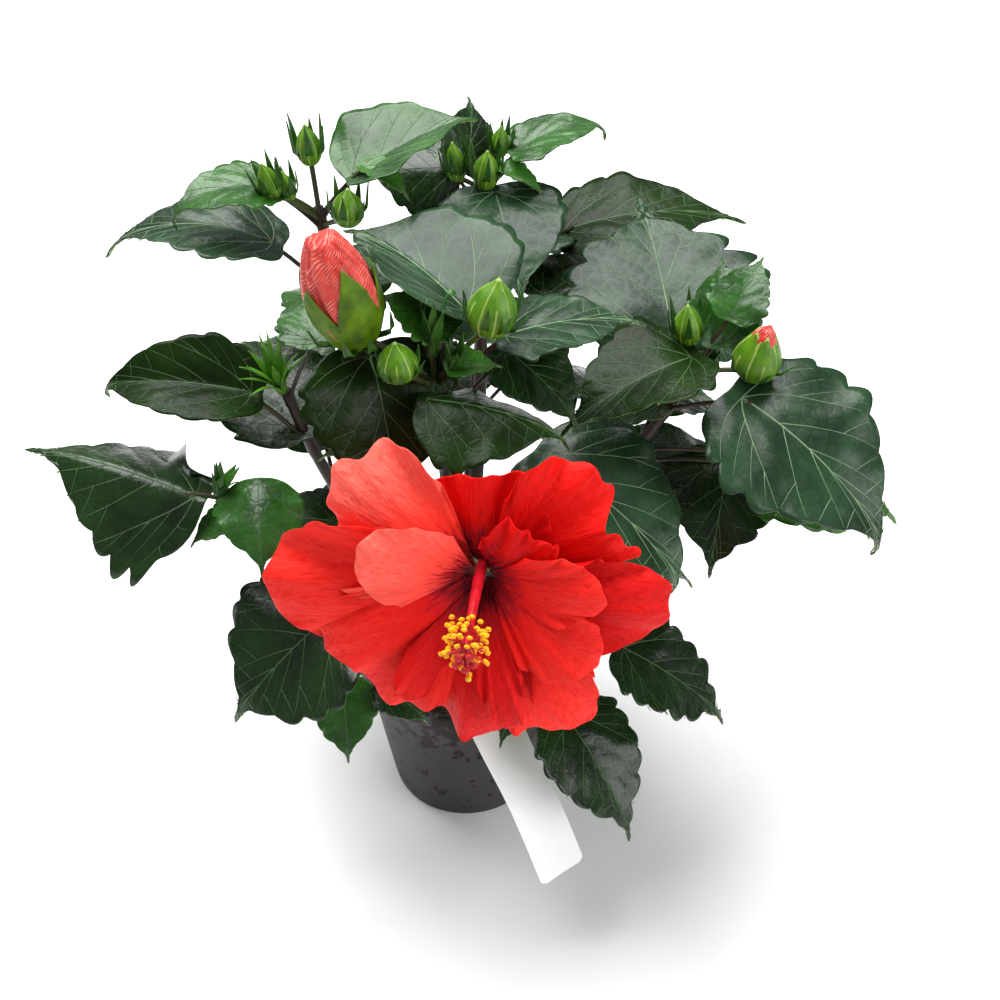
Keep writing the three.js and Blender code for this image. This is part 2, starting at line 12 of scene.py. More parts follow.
import bpy
import numpy as np
from mathutils import Euler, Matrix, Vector


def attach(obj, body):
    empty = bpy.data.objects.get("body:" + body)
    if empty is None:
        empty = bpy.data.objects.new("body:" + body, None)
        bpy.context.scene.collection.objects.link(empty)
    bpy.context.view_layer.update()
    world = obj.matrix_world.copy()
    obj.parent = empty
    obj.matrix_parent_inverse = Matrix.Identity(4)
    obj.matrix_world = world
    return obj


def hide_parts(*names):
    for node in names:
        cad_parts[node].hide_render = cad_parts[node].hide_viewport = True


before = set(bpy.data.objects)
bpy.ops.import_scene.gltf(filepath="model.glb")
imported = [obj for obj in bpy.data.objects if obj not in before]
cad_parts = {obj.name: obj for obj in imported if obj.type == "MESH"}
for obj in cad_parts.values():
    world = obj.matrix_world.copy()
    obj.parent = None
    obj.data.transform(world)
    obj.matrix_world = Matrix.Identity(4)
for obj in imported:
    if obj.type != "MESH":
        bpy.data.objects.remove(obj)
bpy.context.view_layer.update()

LOG = logging.getLogger("hibiscus")
MM = 0.001
SEED = 41
BODY = "root"
UP = np.array([0.0, 0.0, 1.0])
# The angle in degrees between a plant's organs as they follow each other up a stem.
SPIRAL = 137.5
# Steps of this share of a turn never fall into line, so leaves and bracts look unordered.
GOLDEN = 0.618
# The blade length, in millimetres, that the thickness, cupping and relief of leaves are drawn for.
USUAL_BLADE = 80
# Where the bloom's petals meet, in millimetres.
THROAT = (11, -88, 222)

Array = np.ndarray
Tree = bpy.types.NodeTree
Socket = bpy.types.NodeSocket
Materials = list[bpy.types.Material]
Place = tuple[float, float, float]


# ---------- Small tools ----------


def aim(heading: float, pitch: float) -> Array:
    """Give the unit vector with a heading and a pitch in degrees."""
    h, p = math.radians(heading), math.radians(pitch)
    return np.array([math.cos(p) * math.cos(h), math.cos(p) * math.sin(h), math.sin(p)])


def unit(vector: Array) -> Array:
    """Scale vectors to length one along their last axis."""
    return vector / np.maximum(np.linalg.norm(vector, axis=-1, keepdims=True), 1e-9)


def turned(vector: Array, axis: Array, degrees: float) -> Array:
    """Turn a vector about a unit axis by the right-hand rule.

    Args:
        vector: what to turn.
        axis: the unit axis.
        degrees: how far.

    Returns:
        The turned vector.
    """
    a = math.radians(degrees)
    along = axis * float(vector @ axis)
    return along + (vector - along) * math.cos(a) + np.cross(axis, vector) * math.sin(a)


def bezier(points: Array, at: Array) -> Array:
    """Give points on a quadratic curve.

    Args:
        points: its start, its bend and its end.
        at: shares of the way along, from 0 to 1.

    Returns:
        One point for each share.
    """
    t = np.atleast_1d(np.asarray(at, float))[:, None]
    start, bend, end = np.asarray(points, float)
    return (1 - t) ** 2 * start + 2 * t * (1 - t) * bend + t**2 * end


def step_lengths(path: Array) -> Array:
    """Give the distance from each point of a path to the next."""
    return np.linalg.norm(np.diff(path, axis=0), axis=1)


def evened(path: Array, count: int) -> Array:
    """Space a path's points evenly.

    Args:
        path: points along it.
        count: how many to give.

    Returns:
        That many points on the path, its two ends among them.
    """
    run = np.concatenate([[0], np.cumsum(step_lengths(path))])
    even = np.linspace(0, run[-1], count)
    return np.stack([np.interp(even, run, part) for part in path.T], -1)


def angles_round(sides: int) -> Array:
    """Give even angles round a circle, in radians."""
    return np.linspace(0, math.tau, sides, endpoint=False)


def smooth(low: float, high: float, value: Array) -> Array:
    """Rise smoothly from 0 at low to 1 at high."""
    t = np.clip((np.asarray(value, float) - low) / (high - low), 0, 1)
    return t * t * (3 - 2 * t)


def ring_faces(rows: int, sides: int) -> Array:
    """Give the quads of a closed form that is a stack of closed rings, both ends closed too.

    Args:
        rows: rings in the stack.
        sides: points in a ring, an even number.

    Returns:
        An array of quads, four point numbers each: the walls row by row, then the two ends.
    """
    i, j = np.meshgrid(np.arange(rows - 1), np.arange(sides), indexing="ij")
    there = (j + 1) % sides
    walls = [i * sides + j, i * sides + there, (i + 1) * sides + there, (i + 1) * sides + j]
    k = np.arange(sides // 2 - 1)
    end = np.stack([k, k + 1, sides - 2 - k, sides - 1 - k], -1)
    return np.concatenate([np.stack(walls, -1).reshape(-1, 4), end[:, ::-1], end + (rows - 1) * sides])


# ---------- Mesh making ----------


@dataclass
class Patchwork:
    """Many closed forms gathered into one mesh, each face with its finish."""

    points: list[Array] = field(default_factory=list)
    faces: list[Array] = field(default_factory=list)
    finishes: list[Array] = field(default_factory=list)
    count: int = 0

    def add(self, rings: Array, finish: int | Array = 0) -> None:
        """Add one closed form, its faces turned outwards.

        Args:
            rings: its points in millimetres, ring by ring.
            finish: the material number of all its faces, or of each wall face and then of the ends.
        """
        quads = ring_faces(*rings.shape[:2])
        points = rings.reshape(-1, 3)
        a, b, c, d = (points[quads[:, k]] - points[0] for k in range(4))
        volume = np.einsum("ij,ij->", a, np.cross(b, c)) + np.einsum("ij,ij->", a, np.cross(c, d))
        self.points.append(points)
        self.faces.append((quads if volume > 0 else quads[:, ::-1]) + self.count)
        self.finishes.append(np.broadcast_to(np.asarray(finish), (len(quads),)))
        self.count += len(points)

    def build(self, name: str, materials: Materials) -> bpy.types.Object:
        """Make the object, with smooth faces.

        Args:
            name: the piece's name.
            materials: the finishes that the faces' numbers refer to.

        Returns:
            The new object, linked to the scene.
        """
        mesh = bpy.data.meshes.new(name)
        mesh.from_pydata((np.concatenate(self.points) * MM).tolist(), [], np.concatenate(self.faces).tolist())
        for material in materials:
            mesh.materials.append(material)
        mesh.polygons.foreach_set("material_index", np.concatenate(self.finishes).astype(np.int32))
        mesh.polygons.foreach_set("use_smooth", np.ones(len(mesh.polygons), bool))
        mesh.update()
        made = bpy.data.objects.new(name, mesh)
        bpy.context.scene.collection.objects.link(made)
        return made


def frames_along(path: Array) -> tuple[Array, Array]:
    """Give two directions across a path at each of its points, turning as little as they can.

    Args:
        path: points along it.

    Returns:
        The first and the second direction at each point.
    """
    tangent = unit(np.gradient(path, axis=0))
    side = np.cross(tangent[0], UP if abs(tangent[0][2]) < 0.9 else np.array([1.0, 0, 0]))
    sides = []
    for t in tangent:
        side = unit(side - t * float(side @ t))
        sides.append(side)
    first = np.array(sides)
    return first, np.cross(tangent, first)


# How a limb's round end is drawn in, as shares of its radius: how far it stands out, how wide it ends.
CAP_REACH = 0.35
CAP_WIDTH = 0.25


def tube(path: Array, radius: Array, sides: int, relief: Array | float = 1.0) -> Array:
    """Make a round limb along a path, its ends drawn in.

    Args:
        path: points along its middle.
        radius: its radius at each of them.
        sides: points round it.
        relief: a factor on the radius, one for all or one for each point of the rings.

    Returns:
        Its points, ring by ring.
    """
    first, second = frames_along(path)
    angle = angles_round(sides)
    reach = np.broadcast_to(np.asarray(radius, float)[:, None], (len(path), sides)) * relief
    ring = first[:, None] * np.cos(angle)[None, :, None] + second[:, None] * np.sin(angle)[None, :, None]
    body = path[:, None] + ring * reach[..., None]
    ends = []
    for end, inward in ((0, 1), (-1, -2)):
        step = unit(path[inward] - path[end])
        ends.append(path[end] - step * reach[end].mean() * CAP_REACH + (body[end] - path[end]) * CAP_WIDTH)
    return np.concatenate([ends[0][None], body, ends[1][None]])


def sheet(front: Array, back: Array) -> Array:
    """Make a thin closed sheet from its two faces, each a grid of points."""
    return np.concatenate([front, back[:, ::-1]], 1)


def bead(centre: Array, across: float, along: float, axis: Array, rows: int, sides: int) -> Array:
    """Make a small egg-shaped bead from its radii across and along its axis."""
    polar = np.linspace(-0.85, 0.85, rows) * math.pi / 2
    return tube(centre + axis * (np.sin(polar) * along)[:, None], np.cos(polar) * across, sides)


def bake_modifiers(made: bpy.types.Object) -> None:
    """Replace an object's mesh by what its modifiers make of it.

    Args:
        made: the piece.
    """
    graph = bpy.context.evaluated_depsgraph_get()
    mesh = bpy.data.meshes.new_from_object(made.evaluated_get(graph))
    old = made.data
    made.modifiers.clear()
    made.data = mesh
    bpy.data.meshes.remove(old)


def finish_object(made: bpy.types.Object, slot: str | None, *nodes: str) -> None:
    """Let a piece ride on the plant's body, and hide the solids that it stands for.

    Args:
        made: the piece.
        slot: not used.
        nodes: the solids that it stands for.
    """
    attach(made, BODY)
    if nodes:
        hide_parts(*nodes)
    LOG.info("%s: %d faces", made.name, len(made.data.polygons))


# ---------- Finishes ----------

# The values that a noise texture keeps to, nearly all of it and its middle part.
NOISE_WHOLE = (0.3, 0.7)
NOISE_MIDDLE = (0.35, 0.65)
# How far red, green and blue light get into plant tissue, in metres.
LIGHT_REACH = (0.002, 0.001, 0.0005)
# A wave texture draws one line in each such length of its scaled run.
WAVE_RUN = 0.314


def linear(code: str) -> tuple[float, float, float, float]:
    """Turn an sRGB hex colour into linear red, green, blue and alpha.

    Args:
        code: the colour, as # and six hex digits.

    Returns:
        Its linear red, green and blue, and an alpha of 1.
    """
    values = [int(code[i : i + 2], 16) / 255 for i in (1, 3, 5)]
    red, green, blue = (v / 12.92 if v <= 0.04045 else ((v + 0.055) / 1.055) ** 2.4 for v in values)
    return red, green, blue, 1.0


def per_metre(size_mm: float) -> float:
    """Give the texture scale whose features have a size in millimetres."""
    return 1000.0 / size_mm


def add_node(tree: Tree, kind: str, inputs: dict | None = None, **settings: object) -> bpy.types.Node:
    """Add a node with its settings and its links.

    Args:
        tree: the tree it goes in.
        kind: the node's type, without the word that all shader nodes start with.
        inputs: a value, or another node's output, for each input named or numbered.
        settings: the node's own properties.

    Returns:
        The new node.
    """
    made = tree.nodes.new(f"ShaderNode{kind}")
    for key, value in settings.items():
        setattr(made, key, value)
    for key, value in (inputs or {}).items():
        if isinstance(value, Socket):
            tree.links.new(value, made.inputs[key])
        else:
            made.inputs[key].default_value = value
    return made


@dataclass(frozen=True)
class Finish:
    """A surface whose colour varies softly between two and whose grain is a bump of a real size."""

    name: str
    light: str
    dark: str
    mottle_mm: float
    grain_mm: float
    grain_depth_mm: float
    roughness: tuple[float, float]
    ior: float = 1.45
    sheen: float = 0.0
    subsurface: float = 0.0
    specular: float = 0.5

    def colour(self, tree: Tree, place: Socket) -> Socket:
        """Mix the two colours by a soft mottle.

        Args:
            tree: the material's node tree.
            place: the point of the piece.

        Returns:
            The colour's output.
        """
        scale = per_metre(self.mottle_mm)
        noise = add_node(tree, "TexNoise", {"Vector": place, "Scale": scale, "Detail": 3.0})
        low, high = NOISE_MIDDLE
        share = add_node(
            tree, "MapRange", {"Value": noise.outputs["Fac"], "From Min": low, "From Max": high}
        )
        return self.mix(tree, share.outputs["Result"], linear(self.dark), linear(self.light))

    def mix(self, tree: Tree, share: object, first: object, second: object) -> Socket:
        """Mix two colours, or outputs of colours, by a share."""
        made = add_node(tree, "Mix", {0: share, 6: first, 7: second}, data_type="RGBA")
        return made.outputs[2]

    def height(self, tree: Tree, place: Socket) -> Socket:
        """Give the grain's height."""
        inputs = {"Vector": place, "Scale": per_metre(self.grain_mm), "Detail": 4.0}
        return add_node(tree, "TexNoise", inputs).outputs["Fac"]

    def build(self) -> bpy.types.Material:
        """Make the material.

        Returns:
            The new material.
        """
        material = bpy.data.materials.new(self.name)
        material.use_nodes = True
        tree = material.node_tree
        tree.nodes.clear()
        place = add_node(tree, "TexCoord").outputs["Object"]
        grain = self.height(tree, place)
        span = dict(zip(("From Min", "From Max", "To Min", "To Max"), NOISE_WHOLE + self.roughness))
        rough = add_node(tree, "MapRange", {"Value": grain, **span})
        depth = self.grain_depth_mm * MM
        bump = add_node(tree, "Bump", {"Height": grain, "Distance": depth, "Strength": 1.0})
        shader = add_node(
            tree,
            "BsdfPrincipled",
            {
                "Base Color": self.colour(tree, place),
                "Roughness": rough.outputs["Result"],
                "IOR": self.ior,
                "Specular IOR Level": self.specular,
                "Sheen Weight": self.sheen,
                "Subsurface Weight": self.subsurface,
                "Normal": bump.outputs["Normal"],
            },
        )
        shader.inputs["Subsurface Radius"].default_value = LIGHT_REACH
        shader.inputs["Subsurface Scale"].default_value = 1.0
        add_node(tree, "OutputMaterial", {"Surface": shader.outputs["BSDF"]})
        return material


@dataclass(frozen=True)
class LeafFinish(Finish):
    """Living leaf cuticle: waxy over small pillowed cells between the finest veins."""

    fine_share: float = 0.15
    fine_size: float = 0.38
    border: float = 0.22
    drift_mm: float = 6.0
    drift_reach_mm: float = 4.0

    def height(self, tree: Tree, place: Socket) -> Socket:
        """Give pillowed cells of two sizes, their borders bent by a slow noise.

        Args:
            tree: the material's node tree.
            place: the point of the piece.

        Returns:
            The height's output.
        """
        scale = per_metre(self.drift_mm)
        drift = add_node(tree, "TexNoise", {"Vector": place, "Scale": scale, "Detail": 2.0})
        shift = add_node(
            tree,
            "VectorMath",
            {0: drift.outputs["Color"], 1: (self.drift_reach_mm * MM,) * 3, 2: place},
            operation="MULTIPLY_ADD",
        )
        layers = []
        for size, share in ((self.grain_mm, 1.0), (self.grain_mm * self.fine_size, self.fine_share)):
            cells = add_node(
                tree,
                "TexVoronoi",
                {"Vector": shift.outputs[0], "Scale": per_metre(size)},
                feature="DISTANCE_TO_EDGE",
            )
            layers.append(
                add_node(
                    tree,
                    "MapRange",
                    {"Value": cells.outputs["Distance"], "From Max": self.border, "To Max": share},
                    interpolation_type="SMOOTHSTEP",
                ).outputs["Result"]
            )
        return add_node(tree, "Math", {0: layers[0], 1: layers[1]}, operation="ADD").outputs[0]


@dataclass(frozen=True)
class PetalFinish(Finish):
    """Hibiscus petal: soft and thin, dark in the throat, with fine veins that run out from it."""

    subsurface: float = 0.06
    specular: float = 0.12
    deep: str = "#2c0410"
    wine: str = "#96101f"
    # How far out the deep throat ends, the wine red and the darker red stand, and the pale margin starts.
    bands: tuple[float, ...] = (0.17, 0.29, 0.43, 0.95)
    wander: float = 0.11
    vein_turn: float = 26.0
    streak_mm: float = 16.0
    reach_mm: float = 62.0
    # The fine veins and the ribs, as times as many as the streaks of the throat.
    fine_veins: float = 1.7
    ribs: float = 1.3
    fine_range: tuple[float, float] = (0.48, 0.64)
    fine_share: float = 0.6

    def from_throat(self, tree: Tree, place: Socket, operation: str, output: int | str = 0) -> Socket:
        """Give the way from the throat, or its length where the operation is the distance.

        Args:
            tree: the material's node tree.
            place: the point of the piece.
            operation: what the vector node works out.
            output: which of its outputs to take.

        Returns:
            That output.
        """
        throat = [v * MM for v in THROAT]
        made = add_node(tree, "VectorMath", {0: place, 1: throat}, operation=operation)
        return made.outputs[output]

    def streaks(self, tree: Tree, place: Socket, fineness: float) -> Socket:
        """Give noise that is drawn out along the lines that leave the throat.

        Args:
            tree: the material's node tree.
            place: the point of the piece.
            fineness: how many times as fine as the throat's streaks they are.

        Returns:
            The noise's output.
        """
        arm = self.from_throat(tree, place, "SUBTRACT")
        ray = add_node(tree, "VectorMath", {0: arm}, operation="NORMALIZE")
        span = add_node(tree, "VectorMath", {0: arm}, operation="LENGTH")
        drift = per_metre(self.streak_mm) / (self.vein_turn * fineness)
        slow = add_node(tree, "Math", {0: span.outputs["Value"], 1: drift}, operation="MULTIPLY")
        scale = self.vein_turn * fineness
        noise = add_node(
            tree,
            "TexNoise",
            {"Vector": ray.outputs[0], "W": slow.outputs[0], "Scale": scale, "Detail": 3.0},
            noise_dimensions="4D",
        )
        return noise.outputs["Fac"]

    def colour(self, tree: Tree, place: Socket) -> Socket:
        """Run from the dark throat in streaks out to the pale margin, with darker veins.

        Args:
            tree: the material's node tree.
            place: the point of the piece.

        Returns:
            The colour's output.
        """
        low, high = NOISE_WHOLE
        vein = self.streaks(tree, place, 1.0)
        far = self.from_throat(tree, place, "DISTANCE", "Value")
        span = add_node(tree, "MapRange", {"Value": far, "From Max": self.reach_mm * MM})
        spread = add_node(
            tree,
            "MapRange",
            {"Value": vein, "From Min": low, "From Max": high, "To Min": -self.wander, "To Max": self.wander},
        )
        share = add_node(
            tree, "Math", {0: span.outputs["Result"], 1: spread.outputs["Result"]}, operation="ADD"
        )
        ramp = add_node(tree, "ValToRGB", {"Fac": share.outputs[0]})
        colours = (self.deep, self.deep, self.wine, self.dark, self.light)
        while len(ramp.color_ramp.elements) < len(colours):
            ramp.color_ramp.elements.new(0.5)
        for element, at, code in zip(ramp.color_ramp.elements, (0.0, *self.bands), colours):
            element.position = at
            element.color = linear(code)
        low, high = self.fine_range
        fine = add_node(
            tree,
            "MapRange",
            {
                "Value": self.streaks(tree, place, self.fine_veins),
                "From Min": low,
                "From Max": high,
                "To Max": self.fine_share,
            },
        )
        return self.mix(tree, fine.outputs["Result"], ramp.outputs["Color"], linear(self.dark))

    def height(self, tree: Tree, place: Socket) -> Socket:
        """Give the fine ribs that leave the throat."""
        return self.streaks(tree, place, self.ribs)


@dataclass(frozen=True)
class FurledFinish(Finish):
    """Crumpled petal tissue: wavering creases that slope down across the bud, with a painted highlight along
    their crests.
    """

    # The colour of the painted highlight along each crease's crest.
    crest: str = "#f2a08c"
    crest_highlight_range: tuple[float, float] = (0.36, 0.6)
    crest_highlight_share: float = 0.75
    slant_degrees: float = 48.0
    # Real creases stand about 0.5 mm apart; they are drawn coarser, so that they show.
    crease_mm: float = 1.05
    waver: float = 18.0
    waver_scale: float = 0.24

    def creases(self, tree: Tree, place: Socket) -> Socket:
        """Give wavering lines that slope down across the bud and break off here and there.

        Args:
            tree: the material's node tree.
            place: the point of the piece.

        Returns:
            The lines' output, 1 along a crest.
        """
        lean = add_node(
            tree,
            "VectorRotate",
            {"Vector": place, "Angle": math.radians(self.slant_degrees)},
            rotation_type="Y_AXIS",
        )
        lines = add_node(
            tree,
            "TexWave",
            {
                "Vector": lean.outputs[0],
                "Scale": WAVE_RUN * per_metre(self.crease_mm),
                "Distortion": self.waver,
                "Detail": 2.0,
                "Detail Scale": self.waver_scale,
            },
            bands_direction="Z",
        )
        scale = per_metre(3 * self.crease_mm)
        gaps = add_node(tree, "TexNoise", {"Vector": place, "Scale": scale, "Detail": 2.0})
        both = add_node(
            tree, "Math", {0: lines.outputs["Fac"], 1: gaps.outputs["Fac"]}, operation="MULTIPLY"
        )
        return both.outputs[0]

    def colour(self, tree: Tree, place: Socket) -> Socket:
        """Lay the painted highlight of the crests over the petal.

        Args:
            tree: the material's node tree.
            place: the point of the piece.

        Returns:
            The colour's output.
        """
        petal = Finish.colour(self, tree, place)
        low, high = self.crest_highlight_range
        share = add_node(
            tree,
            "MapRange",
            {
                "Value": self.creases(tree, place),
                "From Min": low,
                "From Max": high,
                "To Max": self.crest_highlight_share,
            },
        )
        return self.mix(tree, share.outputs["Result"], petal, linear(self.crest))

    def height(self, tree: Tree, place: Socket) -> Socket:
        """Give the creases' height."""
        return self.creases(tree, place)


@dataclass(frozen=True)
class PotFinish(Finish):
    """Moulded polypropylene: satin, with dried peat smeared under the rim."""

    smear: str = "#180b05"
    smear_from_mm: float = 44.0
    smear_to_mm: float = 88.0
    rim_gain: float = 0.15
    patch_mm: float = 8.0
    patch_range: tuple[float, float] = (0.595, 0.625)
    patch_share: float = 0.96

    def colour(self, tree: Tree, place: Socket) -> Socket:
        """Lay dried peat over the plastic, more of it near the rim.

        Args:
            tree: the material's node tree.
            place: the point of the piece.

        Returns:
            The colour's output.
        """
        plastic = Finish.colour(self, tree, place)
        apart = add_node(tree, "SeparateXYZ", {0: place})
        high = add_node(
            tree,
            "MapRange",
            {
                "Value": apart.outputs["Z"],
                "From Min": self.smear_from_mm * MM,
                "From Max": self.smear_to_mm * MM,
                "To Max": self.rim_gain,
            },
        )
        patches = add_node(
            tree,
            "TexNoise",
            {"Vector": place, "Scale": per_metre(self.patch_mm), "Detail": 6.0, "Roughness": 0.6},
        )
        both = add_node(
            tree, "Math", {0: patches.outputs["Fac"], 1: high.outputs["Result"]}, operation="ADD"
        )
        low, full = self.patch_range
        share = add_node(
            tree,
            "MapRange",
            {"Value": both.outputs[0], "From Min": low, "From Max": full, "To Max": self.patch_share},
        )
        return self.mix(tree, share.outputs["Result"], plastic, linear(self.smear))


@dataclass(frozen=True)
class LabelFinish(Finish):
    """Blank polystyrene card: white, with a tide of peat stain where it leaves the pot."""

    stain: str = "#b9aa94"
    stain_from_mm: float = 84.0
    stain_to_mm: float = 100.0
    stain_share: float = 0.5
    blotch_mm: float = 9.0

    def colour(self, tree: Tree, place: Socket) -> Socket:
        """Stain the card towards the soil.

        Args:
            tree: the material's node tree.
            place: the point of the piece.

        Returns:
            The colour's output.
        """
        card = Finish.colour(self, tree, place)
        apart = add_node(tree, "SeparateXYZ", {0: place})
        wet = add_node(
            tree,
            "MapRange",
            {
                "Value": apart.outputs["Z"],
                "From Min": self.stain_from_mm * MM,
                "From Max": self.stain_to_mm * MM,
                "To Max": self.stain_share,
            },
        )
        scale = per_metre(self.blotch_mm)
        blotch = add_node(tree, "TexNoise", {"Vector": place, "Scale": scale, "Detail": 4.0})
        share = add_node(
            tree, "Math", {0: wet.outputs["Result"], 1: blotch.outputs["Fac"]}, operation="MULTIPLY"
        )
        return self.mix(tree, share.outputs[0], card, linear(self.stain))


class Tone(Enum):
    """Which age of leaf a blade shows, and which painted light or shade its colour carries."""

    DEEP = 0
    MID = 1
    GREY = 2
    OLIVE = 3
    YOUNG = 4
    UNDER = 5
    VEIN = 6
    UNDER_VEIN = 7
    GREY_VEIN = 8


# The cells between the finest veins are 2 to 5 mm across, and stand out least on the flattest blades.
LEAF_FINISHES = {
    # Grown leaf, near black-green, with a clear sheen from its waxy cuticle; on leaves in shadow this dark
    # green is also painted shade.
    Tone.DEEP: LeafFinish("waxy leaf, dark", "#16300c", "#0a1c05", 18, 4.6, 0.05, (0.25, 0.33)),
    # Grown leaf, full green under the same wax: a lighter copy of the dark one, partly painted light for
    # leaves that face the light.
    Tone.MID: LeafFinish("waxy leaf, green", "#2c5c1a", "#1a4010", 18, 4.6, 0.05, (0.26, 0.34)),
    # Grown leaf that faces the sky: painted greyer, as painted sheen of the sky on its wax, and it looks
    # nearly smooth.
    Tone.GREY: LeafFinish(
        "waxy leaf, grey green", "#254228", "#152b18", 20, 5.0, 0.028, (0.26, 0.35), specular=0.36
    ),
    # Older leaf: olive, and dull, as its wax has worn.
    Tone.OLIVE: LeafFinish(
        "waxy leaf, olive", "#182f0a", "#101f05", 18, 4.6, 0.06, (0.28, 0.38), specular=0.15
    ),
    # Young leaf: bright and thin, and crinkled more finely.
    Tone.YOUNG: LeafFinish("young leaf", "#387216", "#24540a", 14, 3.6, 0.08, (0.27, 0.36)),
    # Underside: pale and without gloss.
    Tone.UNDER: LeafFinish("leaf underside, matt", "#4f7032", "#3c5c22", 14, 3.2, 0.2, (0.5, 0.65)),
    # Veins: paler than the blade, so they read as fine light lines.
    Tone.VEIN: Finish("leaf vein", "#4c6a40", "#365030", 9, 1.0, 0.05, (0.3, 0.4)),
    Tone.UNDER_VEIN: Finish("leaf vein, underside", "#9db878", "#7f9c5c", 9, 1.0, 0.05, (0.5, 0.6)),
    Tone.GREY_VEIN: Finish("leaf vein, grey green", "#78906e", "#5e7a57", 9, 1.0, 0.05, (0.3, 0.4)),
}


# ---------- Leaf blades ----------


@dataclass(frozen=True)
class Leaf:
    """One leaf: where its stalk leaves the shoot, where its blade starts from there, and its pose.

    The left half turns up by `turned` degrees at its margin, or the right half if that is negative,
    from the base on up to the share `turned_to` of the length.
    """

    at: float
    off: Place
    heading: float
    pitch: float
    roll: float
    size: float
    wide: float = 0.8
    arch: float = 35
    fold: float = 8
    tone: Tone = Tone.DEEP
    curl: float = 30
    cup: float = 2.0
    turned: float = 0
    turned_to: float = 1.5
    wavy: float = 1
    lobed: float = 1


# Each side vein: where it leaves the midrib, where it ends, and how near the margin.
SIDE_VEINS = ((0.28, 0.6, 0.9), (0.41, 0.72, 0.88), (0.54, 0.81, 0.86), (0.66, 0.88, 0.84), (0.77, 0.93, 0.8))
# Each branch of the two main side veins and of the two low ones: where it leaves, where it ends, how far out.
MAIN_BRANCHES = ((0.3, 0.3, 0.9), (0.52, 0.39, 0.9), (0.75, 0.46, 0.86))
LOW_BRANCHES = ((0.4, 0.06, 0.62), (0.7, 0.13, 0.86))
# The width of each kind of vein at its start and at its end, in millimetres.
MIDRIB = (1.2, 0.3)
MAIN_VEIN = (0.8, 0.22)
LOW_VEIN = (0.65, 0.2)
SIDE_VEIN = (0.55, 0.16)
MAIN_BRANCH = (0.4, 0.14)
LOW_BRANCH = (0.36, 0.14)
FORK = (0.34, 0.14)
# Veins that start finer than this have fewer points, and no rib on the underside.
FINE_VEIN = 0.5
# Waves of a blade's margin: height, waves along it, times the blade's phase, and the shift between halves.
BLADE_WAVES = ((1.0, 2.3, 1, 1.3), (0.5, 4.1, 2, 2.1))


